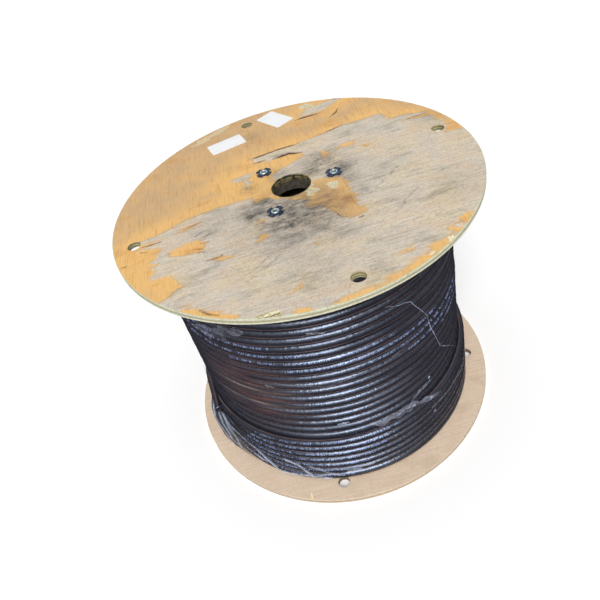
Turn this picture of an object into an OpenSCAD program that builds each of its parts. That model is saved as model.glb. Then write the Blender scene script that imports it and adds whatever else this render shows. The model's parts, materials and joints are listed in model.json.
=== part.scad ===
// Reel of coaxial cable: two plywood flanges on a fibre barrel, drawn together by three tie
// bolts, wound full of cable and wrapped in what is left of its clear film.
// Millimetres, +Z up. The reel stands on its lower flange, with its axis on Z.

/* [Flanges] */
// Diameter of a flange
flange_d = 355.6; // [345:0.1:420]
// Thickness of a flange's plywood
flange_t = 6.5; // [6:0.1:12]
// Bevel worn on the edges of the plywood
edge_wear = 0.6; // [0.2:0.1:1.2]
// Clear width between the flanges
traverse = 269.5; // [180:0.5:340]
// Diameter of the arbor hole through the reel
arbor_d = 38.1; // [25:0.1:55]
// Diameter of the four holes near each rim
rim_hole_d = 12.7; // [8:0.1:15]
// Diameter of the circle that the rim holes lie on
rim_circle_d = 315; // [300:0.5:325]
// Turn of the upper flange's rim holes
upper_rim_turn = 9; // [0:1:89]
// Turn of the lower flange's rim holes
lower_rim_turn = 78; // [0:1:89]

/* [Rim chip] */
// Direction of the chip broken from the upper flange's rim
chip_azimuth = -105.6; // [-180:0.1:180]
// Length of the chip along the rim
chip_l = 18; // [5:0.5:40]
// Reach of the chip in from the rim
chip_reach = 8; // [2:0.5:11]
// Depth of the chip at the rim
chip_depth = 2.4; // [0.5:0.1:4]

/* [Barrel] */
// Outer diameter of the barrel
barrel_d = 152; // [135:0.5:170]
// Wall of the barrel
barrel_wall = 6; // [3:0.5:10]
// Thickness of a drum head
head_t = 10; // [9:0.5:20]
// Clearance between a drum head and the barrel
head_clear = 0.2; // [0.1:0.05:0.5]

/* [Tie bolts] */
// Diameter of the circle that the tie bolts lie on
bolt_circle_d = 85.5; // [80:0.5:100]
// Diameter of a tie bolt
bolt_d = 6.35; // [5:0.05:7]
// Diameter of a tie bolt's flat head
bolt_head_d = 12.7; // [10:0.1:14]
// Height of the flat head
bolt_head_h = 3.4; // [2.5:0.1:4.5]
// Depth of the head below the lower flange's face
bolt_head_sink = 0.3; // [0.1:0.1:0.8]
// Width of the head's cross recess
recess_w = 1.2; // [0.8:0.1:1.8]
// Length of the head's cross recess
recess_l = 6.4; // [4:0.1:8]
// Depth of the head's cross recess
recess_depth = 1.8; // [1:0.1:2.2]
// Clearance round a bolt in its holes
bolt_clear = 0.25; // [0.1:0.05:0.4]

/* [Tee nuts] */
// Diameter of a tee nut's plate
nut_plate_d = 16; // [15.5:0.1:24]
// Thickness of the plate
nut_plate_t = 1.2; // [0.8:0.1:2]
// Depth that the plate is pulled into the plywood
nut_sink = 0.5; // [0.1:0.1:0.8]
// Outer diameter of the threaded sleeve
nut_sleeve_d = 7.9; // [7.8:0.1:9.2]
// Length of the sleeve below the plate
nut_sleeve_l = 8; // [7:0.1:9]
// Depth of the thread that the nut and the bolt share
thread_gap = 0.12; // [0.05:0.01:0.3]
// Width of the notch that each prong leaves in the plate
notch_w = 4.2; // [2:0.1:4.5]
// Reach of the notch in from the plate's edge
notch_reach = 2.2; // [2:0.1:3.2]
// Length of a prong
prong_l = 4.6; // [3:0.1:5]
// Width of a prong's blunt tip
prong_tip_w = 0.6; // [0.2:0.1:1.5]
// Clearance round the nut in the plywood
nut_clear = 0.15; // [0.05:0.05:0.25]
// Depth of the bolt's end below the plate's face
bolt_end_depth = 0.8; // [0.3:0.1:2]

/* [Cable] */
// Outer diameter of the cable
cable_d = 10; // [8:0.1:12]
// Gap between neighbouring turns
turn_gap = 0.1; // [0.05:0.05:0.4]
// Number of full layers
layers = 8; // [4:1:8]
// Number of turns in the last layer, which lies at the bottom
over_turns = 7; // [1:1:14]
// Rise of the last layer over the one below
over_rise = 7.2; // [5:0.1:8.7]
// Depth of the groove that shows between two turns
groove_depth = 3; // [1:0.1:3.6]
// Clearance between the first layer and the barrel
winding_clear = 0.2; // [0.1:0.05:0.6]

/* [Film] */
// Thickness of the film's layers together
film_t = 0.3; // [0.1:0.05:0.8]
// Gap between the film and the turns that it lies on
film_gap = 0.15; // [0.05:0.05:0.4]
// Distance of the film's lower edge from the lower flange
film_foot = 1; // [0.2:0.1:10]
// Length over which the film comes in above the last layer
film_slope_l = 30; // [10:1:50]
// Length of the film that lies straight above that
film_lap_l = 12; // [2:1:40]

/* [Labels] */
// Length of a label
label_l = 40; // [20:0.5:60]
// Width of a label
label_w = 24; // [12:0.5:40]
// Corner radius of a label
label_corner = 2; // [0.5:0.1:5]
// Thickness of the paper
label_t = 0.2; // [0.1:0.05:0.5]
// Distance of the first label's middle from the rim
label_1_inset = 45.2; // [25:0.1:80]
// Direction of the first label from the axis
label_1_azimuth = 113.1; // [-180:0.1:180]
// Turn of the first label
label_1_turn = 13.8; // [-180:0.1:180]
// Distance of the second label's middle from the rim
label_2_inset = 28.1; // [20:0.1:80]
// Direction of the second label from the axis
label_2_azimuth = 86.9; // [-180:0.1:180]
// Turn of the second label
label_2_turn = -59; // [-180:0.1:180]

/* [Hidden] */

$fn = 96;
through = 1;
plywood_tan = "#CDBFAE";
head_brown = "#6B6256";
fibre_brown = "#9A7B54";
zinc_grey = "#8C939A";
jacket_black = "#1B1C20";
film_clear = [0.8, 0.82, 0.86, 0.25];
paper_white = "#F1F1EE";

bolts = 3;
rim_holes = 4;
prongs = 4;
height = traverse + 2 * flange_t;
upper_z = height - flange_t;

head_d = barrel_d - 2 * (barrel_wall + head_clear);
bolt_hole_d = bolt_d + 2 * bolt_clear;
plate_z = height - nut_sink;
sleeve_hole_d = nut_sleeve_d + 2 * nut_clear;
prong_x = nut_plate_d / 2 - notch_reach - nut_plate_t / 2;
bolt_end_z = plate_z + nut_plate_t - bolt_end_depth;

cable_pitch = cable_d + turn_gap;
layer_step = cable_pitch * sqrt(3) / 2;
turns = floor(traverse / cable_pitch - 0.5);
winding_h = (turns + 0.5) * cable_pitch - turn_gap;
bore_r = barrel_d / 2 + winding_clear;
fill_end = cable_pitch / 2 + cable_d / 2 - groove_depth;
crest_r = layer_r(layers - 1) + cable_d / 2;
over_r = layer_r(layers - 1) + over_rise;
over_crest_r = over_r + cable_d / 2;
over_top_z = turn_z(layers, over_turns - 1) + cable_d / 2;
over_fill_z = over_top_z - groove_depth;

film_low_z = flange_t + film_foot;
film_slope_z = over_top_z + film_slope_l;
film_high_z = film_slope_z + film_lap_l;
film_low_r = over_crest_r + film_gap;
film_high_r = crest_r + film_gap;

// Radius of the middle of the cable in a layer, counted from 0 at the barrel
function layer_r(layer) = bore_r + cable_d / 2 + layer * layer_step;

// Height of the middle of a turn: each second layer lies half a turn higher, in the grooves
function turn_z(layer, turn) = flange_t + cable_d / 2 + (turn + (layer % 2) / 2) * cable_pitch;

// Places what follows at each of a number of points round the axis
module ring(count, diameter, turn = 0) {
    for (i = [0 : count - 1])
        rotate(turn + i * 360 / count)
            translate([diameter / 2, 0, 0])
                children();
}

// Places what follows at one tie bolt, without turning it
module at_bolt(number) {
    azimuth = (number - 1) * 360 / bolts;
    translate([bolt_circle_d / 2 * cos(azimuth), bolt_circle_d / 2 * sin(azimuth), 0])
        children();
}

// Round disc with an arbor hole and worn edges, standing on z = 0
module bored_disc(diameter, thickness) {
    inner = arbor_d / 2;
    outer = diameter / 2;
    rotate_extrude($fn = 180)
        polygon([
            [inner, 0], [outer - edge_wear, 0], [outer, edge_wear],
            [outer, thickness - edge_wear], [outer - edge_wear, thickness], [inner, thickness]
        ]);
}

module rim_hole_cuts(turn) {
    ring(rim_holes, rim_circle_d, turn)
        translate([0, 0, -through])
            cylinder(d = rim_hole_d, h = flange_t + 2 * through);
}

// Wedge that the broken chip leaves, cut down from the upper face towards the rim
module chip_cut() {
    rim = flange_d / 2;
    rotate(chip_azimuth)
        translate([0, chip_l / 2, 0])
            rotate([90, 0, 0])
                linear_extrude(chip_l)
                    polygon([
                        [rim - chip_reach, flange_t + through], [rim - chip_reach, flange_t],
                        [rim, flange_t - chip_depth], [rim + through, flange_t - chip_depth],
                        [rim + through, flange_t + through]
                    ]);
}

// Plate of a tee nut: a disc with a notch where each prong was bent down
module nut_plate_outline(grow = 0) {
    difference() {
        circle(d = nut_plate_d + 2 * grow);
        for (i = [0 : prongs - 1])
            rotate(i * 360 / prongs)
                translate([nut_plate_d / 2 - notch_reach + grow, grow - notch_w / 2])
                    square([nut_plate_d, notch_w - 2 * grow]);
    }
}

// Pointed blades bent down from the plate, below z = 0
module nut_prongs(grow = 0) {
    for (i = [0 : prongs - 1])
        rotate(i * 360 / prongs)
            translate([prong_x - nut_plate_t / 2 - grow, 0, 0])
                rotate([90, 0, 90])
                    linear_extrude(nut_plate_t + 2 * grow)
                        polygon([
                            [-notch_w / 2 - grow, grow], [notch_w / 2 + grow, grow],
                            [notch_w / 2 + grow, 0], [prong_tip_w / 2 + grow, -prong_l - grow],
                            [-prong_tip_w / 2 - grow, -prong_l - grow], [-notch_w / 2 - grow, 0]
                        ]);
}

// Room for a tee nut in the upper flange: the plate's seat, the prongs' slots and the sleeve's hole
module nut_seat_cut() {
    translate([0, 0, flange_t - nut_sink]) {
        linear_extrude(nut_sink + through)
            nut_plate_outline(nut_clear);
        nut_prongs(nut_clear);
    }
    translate([0, 0, -through])
        cylinder(d = sleeve_hole_d, h = flange_t + 2 * through);
}

// Flat bolt head below its shank, widest at z = 0
module bolt_head_cone(grow = 0) {
    cylinder(d1 = bolt_head_d + 2 * grow, d2 = bolt_d + 2 * grow, h = bolt_head_h);
}

module upper_flange() {
    color(plywood_tan)
        translate([0, 0, upper_z])
            difference() {
                bored_disc(flange_d, flange_t);
                rim_hole_cuts(upper_rim_turn);
                for (number = [1 : bolts])
                    at_bolt(number)
                        nut_seat_cut();
                chip_cut();
            }
}

module lower_flange() {
    color(plywood_tan)
        difference() {
            bored_disc(flange_d, flange_t);
            rim_hole_cuts(lower_rim_turn);
            for (number = [1 : bolts])
                at_bolt(number) {
                    translate([0, 0, -through])
                        cylinder(d = bolt_head_d + 2 * bolt_clear, h = bolt_head_sink + through);
                    translate([0, 0, bolt_head_sink])
                        bolt_head_cone(bolt_clear);
                    cylinder(d = bolt_hole_d, h = flange_t + through);
                }
        }
}

// Disc inside an end of the barrel, with holes for the tie bolts or the nuts' sleeves
module drum_head(hole_d) {
    color(head_brown)
        difference() {
            bored_disc(head_d, head_t);
            for (number = [1 : bolts])
                at_bolt(number)
                    translate([0, 0, -through])
                        cylinder(d = hole_d, h = head_t + 2 * through);
        }
}

module upper_drum_head() {
    translate([0, 0, upper_z - head_t])
        drum_head(sleeve_hole_d);
}

module lower_drum_head() {
    translate([0, 0, flange_t])
        drum_head(bolt_hole_d);
}

module barrel() {
    color(fibre_brown)
        translate([0, 0, flange_t])
            rotate_extrude($fn = 180)
                translate([barrel_d / 2 - barrel_wall, 0])
                    square([barrel_wall, traverse]);
}

module tie_bolt(number) {
    color(zinc_grey)
        at_bolt(number)
            difference() {
                union() {
                    translate([0, 0, bolt_head_sink])
                        bolt_head_cone();
                    translate([0, 0, bolt_head_sink])
                        cylinder(d = bolt_d, h = bolt_end_z - bolt_head_sink);
                }
                for (turn = [0, 90])
                    rotate(turn)
                        translate([-recess_l / 2, -recess_w / 2, bolt_head_sink - through])
                            cube([recess_l, recess_w, recess_depth + through]);
            }
}

module tee_nut(number) {
    color(zinc_grey)
        at_bolt(number)
            translate([0, 0, plate_z])
                difference() {
                    union() {
                        linear_extrude(nut_plate_t)
                            nut_plate_outline();
                        nut_prongs();
                        translate([0, 0, -nut_sleeve_l])
                            cylinder(d = nut_sleeve_d, h = nut_sleeve_l + nut_plate_t / 2);
                    }
                    translate([0, 0, -nut_sleeve_l - through])
                        cylinder(d = bolt_d + 2 * thread_gap, h = nut_sleeve_l + nut_plate_t + 2 * through);
                }
}

// Half section of the winding: the turns that show, on a filling that stands for those inside
module winding_section() {
    translate([bore_r, flange_t + fill_end])
        square([crest_r - groove_depth - bore_r, winding_h - 2 * fill_end]);
    translate([bore_r, flange_t + fill_end])
        square([over_crest_r - groove_depth - bore_r, over_fill_z - flange_t - fill_end]);
    for (layer = [0 : layers - 1], turn = [0, turns - 1])
        cable_turn(layer_r(layer), turn_z(layer, turn));
    for (turn = [1 : turns - 2])
        cable_turn(layer_r(layers - 1), turn_z(layers - 1, turn));
    for (turn = [0 : over_turns - 1])
        cable_turn(over_r, turn_z(layers, turn));
}

module cable_turn(r, z) {
    translate([r, z])
        circle(d = cable_d, $fn = 32);
}

module cable_coil() {
    color(jacket_black)
        rotate_extrude($fn = 180)
            winding_section();
}

module film_wrap() {
    color(film_clear)
        rotate_extrude($fn = 180)
            polygon([
                [film_low_r, film_low_z], [film_low_r + film_t, film_low_z],
                [film_low_r + film_t, over_top_z], [film_high_r + film_t, film_slope_z],
                [film_high_r + film_t, film_high_z], [film_high_r, film_high_z],
                [film_high_r, film_slope_z], [film_low_r, over_top_z]
            ]);
}

// Sticker with rounded corners, flat on the upper flange
module paper_label(inset, azimuth, turn) {
    reach = flange_d / 2 - inset;
    color(paper_white)
        translate([reach * cos(azimuth), reach * sin(azimuth), height])
            rotate(turn)
                linear_extrude(label_t) {
                    square([label_l, label_w - 2 * label_corner], center = true);
                    square([label_l - 2 * label_corner, label_w], center = true);
                    for (x = [-1, 1], y = [-1, 1])
                        translate([x * (label_l / 2 - label_corner), y * (label_w / 2 - label_corner)])
                            circle(r = label_corner, $fn = 32);
                }
}

upper_flange();
lower_flange();
upper_drum_head();
lower_drum_head();
barrel();
tie_bolt(1);  // tie_bolt_1
tie_bolt(2);  // tie_bolt_2
tie_bolt(3);  // tie_bolt_3
tee_nut(1);  // tee_nut_1
tee_nut(2);  // tee_nut_2
tee_nut(3);  // tee_nut_3
cable_coil();
film_wrap();
paper_label(label_1_inset, label_1_azimuth, label_1_turn);  // paper_label_1
paper_label(label_2_inset, label_2_azimuth, label_2_turn);  // paper_label_2
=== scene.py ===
"""Looks of a worn plywood reel of coaxial cable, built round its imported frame."""

import json
import logging
import math
from dataclasses import dataclass
from enum import Enum, IntEnum
from typing import Any, Mapping, Sequence

import bmesh
import bpy
import numpy as np
from mathutils import Matrix, Vector


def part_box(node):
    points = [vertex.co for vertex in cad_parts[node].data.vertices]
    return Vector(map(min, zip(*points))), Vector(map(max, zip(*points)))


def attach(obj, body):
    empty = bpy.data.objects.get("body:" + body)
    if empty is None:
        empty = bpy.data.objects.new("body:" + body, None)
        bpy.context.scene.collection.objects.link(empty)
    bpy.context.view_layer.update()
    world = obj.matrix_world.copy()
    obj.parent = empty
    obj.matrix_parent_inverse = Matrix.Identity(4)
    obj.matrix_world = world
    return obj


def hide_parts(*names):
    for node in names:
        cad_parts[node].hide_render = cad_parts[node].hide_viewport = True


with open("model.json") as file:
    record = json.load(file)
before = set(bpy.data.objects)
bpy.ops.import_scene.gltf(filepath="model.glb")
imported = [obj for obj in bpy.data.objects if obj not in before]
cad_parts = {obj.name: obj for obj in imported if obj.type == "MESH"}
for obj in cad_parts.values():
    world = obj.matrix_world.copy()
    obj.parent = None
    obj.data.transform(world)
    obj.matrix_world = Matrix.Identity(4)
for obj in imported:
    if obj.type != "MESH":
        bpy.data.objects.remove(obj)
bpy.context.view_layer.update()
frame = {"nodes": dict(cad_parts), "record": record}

LOG = logging.getLogger("reel")
MM = 0.001
BODY = "root"
MOUNTS = {mount["name"]: mount for mount in frame["record"]["mounts"]}

# Closest that two vertices of a mesh may lie, and the bend that still counts as flat, in degrees
WELD = 0.01 * MM
FLAT_BEND = 0.5

Point = tuple[float, float]
Triple = tuple[float, float, float]
Outline = Sequence[Point]
Spot = tuple[Point, float, float]
Colour = tuple[float, float, float, float]


class Slot(Enum):
    """Material slots of the record."""

    PLYWOOD = "plywood"
    ZINC_STEEL = "zinc_steel"
    JACKET = "cable_jacket"
    FILM = "clear_film"
    PAPER = "label_paper"


class UpperFinish(IntEnum):
    """Places of the finishes among the upper flange's materials."""

    FACE = 0
    RIM = 1
    FAR_FACE = 2
    ARBOR = 3
    HOLE = 4


class LowerFinish(IntEnum):
    """Places of the finishes among the lower flange's materials."""

    FACE = 0
    RIM = 1
    HOLE = 2


class NutFinish(IntEnum):
    """Places of the finishes among a tee nut's materials."""

    PLATE = 0
    LIP = 1


def linear(hex_colour: str) -> Colour:
    """Turns an sRGB hex colour into linear light.

    Args:
        hex_colour: colour such as "#DDB070".

    Returns:
        Linear red, green and blue, and an alpha of 1.
    """
    channels = [int(hex_colour[i : i + 2], 16) / 255 for i in (1, 3, 5)]
    light = [c / 12.92 if c <= 0.04045 else ((c + 0.055) / 1.055) ** 2.4 for c in channels]
    return (light[0], light[1], light[2], 1.0)


def add_node(
    tree: bpy.types.NodeTree,
    kind: str,
    inputs: Mapping[int | str, Any] | None = None,
    out: int | str = 0,
    **settings: Any,
) -> bpy.types.NodeSocket | None:
    """Adds a node with its settings, values and links.

    Args:
        tree: node tree that takes the node.
        kind: Blender's name for the type of node.
        inputs: value, or output socket to link, for each input.
        out: which output to give back.
        settings: attributes to set on the node.

    Returns:
        The output, or None from a node that has none.
    """
    node = tree.nodes.new(kind)
    for name, value in settings.items():
        setattr(node, name, value)
    for key, value in (inputs or {}).items():
        if isinstance(value, bpy.types.NodeSocket):
            tree.links.new(value, node.inputs[key])
        else:
            node.inputs[key].default_value = value
    return node.outputs[out] if node.outputs else None


def new_material(name: str) -> tuple[bpy.types.Material, bpy.types.NodeTree]:
    """Makes an empty node material and gives it back with its tree."""
    material = bpy.data.materials.new(name)
    material.use_nodes = True
    material.node_tree.nodes.clear()
    return material, material.node_tree


def close_material(tree: bpy.types.NodeTree, inputs: Mapping[str, Any]) -> None:
    """Ends a material with one Principled shader that takes the given inputs."""
    shader = add_node(tree, "ShaderNodeBsdfPrincipled", inputs)
    add_node(tree, "ShaderNodeOutputMaterial", {"Surface": shader})


def attribute(tree: bpy.types.NodeTree, name: str) -> bpy.types.NodeSocket:
    """Reads an attribute of the piece as a number."""
    return add_node(tree, "ShaderNodeAttribute", out="Fac", attribute_name=name)


def maths(
    tree: bpy.types.NodeTree, operation: str, *values: bpy.types.NodeSocket | float
) -> bpy.types.NodeSocket:
    """Works out sockets and numbers by one of Blender's operations."""
    return add_node(tree, "ShaderNodeMath", dict(enumerate(values)), operation=operation)


def ramp(
    tree: bpy.types.NodeTree,
    value: bpy.types.NodeSocket,
    span: Point,
    to: Point = (0.0, 1.0),
) -> bpy.types.NodeSocket:
    """Maps a value from one span to another and holds it at their ends.

    Args:
        tree: node tree that takes the node.
        value: socket to map.
        span: values at the two ends.
        to: what these values become.

    Returns:
        The mapped value.
    """
    ends = {"From Min": span[0], "From Max": span[1], "To Min": to[0], "To Max": to[1]}
    return add_node(tree, "ShaderNodeMapRange", {"Value": value, **ends})


def blend(
    tree: bpy.types.NodeTree,
    share: bpy.types.NodeSocket,
    first: bpy.types.NodeSocket | str,
    second: bpy.types.NodeSocket | str,
) -> bpy.types.NodeSocket:
    """Blends two colours.

    Args:
        tree: node tree that takes the node.
        share: share of the second colour.
        first: socket or sRGB hex colour.
        second: socket or sRGB hex colour.

    Returns:
        The blended colour.
    """
    ends = [linear(end) if isinstance(end, str) else end for end in (first, second)]
    # Inputs 6 and 7 and output 2 are the node's sockets for colours
    return add_node(tree, "ShaderNodeMix", {0: share, 6: ends[0], 7: ends[1]}, 2, data_type="RGBA")


def noise(
    tree: bpy.types.NodeTree,
    place: bpy.types.NodeSocket,
    size: float,
    detail: float,
    roughness: float = 0.5,
) -> bpy.types.NodeSocket:
    """Adds a noise.

    Args:
        tree: node tree that takes the node.
        place: coordinates that it fills.
        size: size of its largest cells, in the unit of the coordinates.
        detail: number of finer noises on top.
        roughness: strength of each of them against the one before.

    Returns:
        The noise, mostly between 0.2 and 0.8.
    """
    look = {"Scale": 1 / size, "Detail": detail, "Roughness": roughness}
    return add_node(tree, "ShaderNodeTexNoise", {"Vector": place, **look})


def stretch(
    tree: bpy.types.NodeTree, place: bpy.types.NodeSocket, scale: Triple, turn: float = 0.0
) -> bpy.types.NodeSocket:
    """Scales coordinates and turns them about Z.

    Args:
        tree: node tree that takes the node.
        place: coordinates.
        scale: factor on each axis.
        turn: turn in radians.

    Returns:
        The new coordinates.
    """
    return add_node(
        tree, "ShaderNodeMapping", {"Vector": place, "Rotation": (0, 0, turn), "Scale": scale}
    )


def bump(
    tree: bpy.types.NodeTree, height: bpy.types.NodeSocket, strength: float, depth: float
) -> bpy.types.NodeSocket:
    """Turns a height from 0 to 1 into relief of some depth and strength."""
    return add_node(
        tree, "ShaderNodeBump", {"Height": height, "Strength": strength, "Distance": depth}
    )


def value_noise(x: np.ndarray, y: np.ndarray | float, seed: float) -> np.ndarray:
    """Smooth noise from -1 to 1 on a unit lattice.

    Args:
        x: first coordinates.
        y: second coordinates.
        seed: number that sets one noise apart from another.

    Returns:
        The noise at each point.
    """
    y = np.broadcast_to(y, x.shape)
    column, row = np.floor(x), np.floor(y)
    across, along = x - column, y - row
    across = across * across * (3 - 2 * across)
    along = along * along * (3 - 2 * along)

    def corner(i: int, j: int) -> np.ndarray:
        """Value at a corner of each point's lattice cell."""
        # Large factors scatter the corners
        wave = np.sin((column + i) * 127.1 + (row + j) * 311.7 + seed * 74.7) * 4375.85
        return 2 * (wave - np.floor(wave)) - 1

    low = corner(0, 0) * (1 - across) + corner(1, 0) * across
    high = corner(0, 1) * (1 - across) + corner(1, 1) * across
    return low * (1 - along) + high * along


def smooth_step(value: np.ndarray, low: float, high: float) -> np.ndarray:
    """Smooth rise from 0 at low to 1 at high."""
    share = np.clip((value - low) / (high - low), 0, 1)
    return share * share * (3 - 2 * share)


def line_distance(x: np.ndarray, y: np.ndarray, line: Outline) -> np.ndarray:
    """Distance of each point from a line of straight stretches."""
    nearest = np.full(x.shape, np.inf)
    for start, end in zip(line, line[1:]):
        run = (end[0] - start[0], end[1] - start[1])
        share = ((x - start[0]) * run[0] + (y - start[1]) * run[1]) / (run[0] ** 2 + run[1] ** 2)
        share = np.clip(share, 0, 1)
        away = np.hypot(x - start[0] - share * run[0], y - start[1] - share * run[1])
        nearest = np.minimum(nearest, away)
    return nearest


def inside_distance(x: np.ndarray, y: np.ndarray, outline: Outline) -> np.ndarray:
    """Distance of each point from an outline.

    Args:
        x: first coordinates.
        y: second coordinates.
        outline: corners of a closed outline.

    Returns:
        The distance, positive inside the outline and negative outside.
    """
    closed = [*outline, outline[0]]
    inside = np.zeros(x.shape, dtype=bool)
    for start, end in zip(closed, closed[1:]):
        if start[1] != end[1]:
            at = start[0] + (y - start[1]) * (end[0] - start[0]) / (end[1] - start[1])
            inside ^= ((start[1] > y) != (end[1] > y)) & (x < at)
    nearest = line_distance(x, y, closed)
    return np.where(inside, nearest, -nearest)


def spots(x: np.ndarray, y: np.ndarray, places: Sequence[Spot]) -> np.ndarray:
    """Strongest of several soft round spots at each point."""
    strongest = np.zeros(x.shape)
    for middle, reach, strength in places:
        away = np.hypot(x - middle[0], y - middle[1]) / reach
        strongest = np.maximum(strongest, strength * np.exp(-away * away))
    return strongest


def mesh_object(
    name: str,
    bm: bmesh.types.BMesh,
    materials: Sequence[bpy.types.Material],
    sharp: float | None = None,
) -> bpy.types.Object:
    """Turns a bmesh into an object at the origin.

    Args:
        name: name of the piece.
        bm: its mesh, which is freed.
        materials: its materials, by index.
        sharp: least angle in degrees between two faces that shows as an edge, if any does.

    Returns:
        The new object.
    """
    for face in bm.faces:
        face.smooth = True
    if sharp is not None:
        for edge in bm.edges:
            edge.smooth = edge.is_manifold and edge.calc_face_angle(0) < math.radians(sharp)
    mesh = bpy.data.meshes.new(name)
    bm.to_mesh(mesh)
    bm.free()
    for material in materials:
        mesh.materials.append(material)
    piece = bpy.data.objects.new(name, mesh)
    bpy.context.scene.collection.objects.link(piece)
    return piece


def take_in(whole: bmesh.types.BMesh, part: bmesh.types.BMesh) -> None:
    """Adds a part to a mesh and frees the part."""
    mesh = bpy.data.meshes.new("part")
    part.to_mesh(mesh)
    part.free()
    whole.from_mesh(mesh)
    bpy.data.meshes.remove(mesh)


def node_mesh(node: str) -> bmesh.types.BMesh:
    """Copies a CAD node's mesh, with its doubled vertices merged and its flat faces whole."""
    bm = bmesh.new()
    bm.from_mesh(frame["nodes"][node].data)
    bmesh.ops.remove_doubles(bm, verts=bm.verts[:], dist=WELD)
    bend = math.radians(FLAT_BEND)
    bmesh.ops.dissolve_limit(bm, angle_limit=bend, verts=bm.verts[:], edges=bm.edges[:])
    bmesh.ops.recalc_face_normals(bm, faces=bm.faces[:])
    return bm


def enrol(piece: bpy.types.Object, slot: Slot, *nodes: str) -> bpy.types.Object:
    """Lets a piece ride on the reel.

    Args:
        piece: the piece.
        slot: record slot of the piece; not used.
        nodes: CAD nodes that it stands for.

    Returns:
        The same piece.
    """
    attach(piece, BODY)
    if nodes:
        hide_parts(*nodes)
    LOG.info("%s: %d faces, in place of %s", piece.name, len(piece.data.polygons), nodes or "nothing")
    return piece


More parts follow.
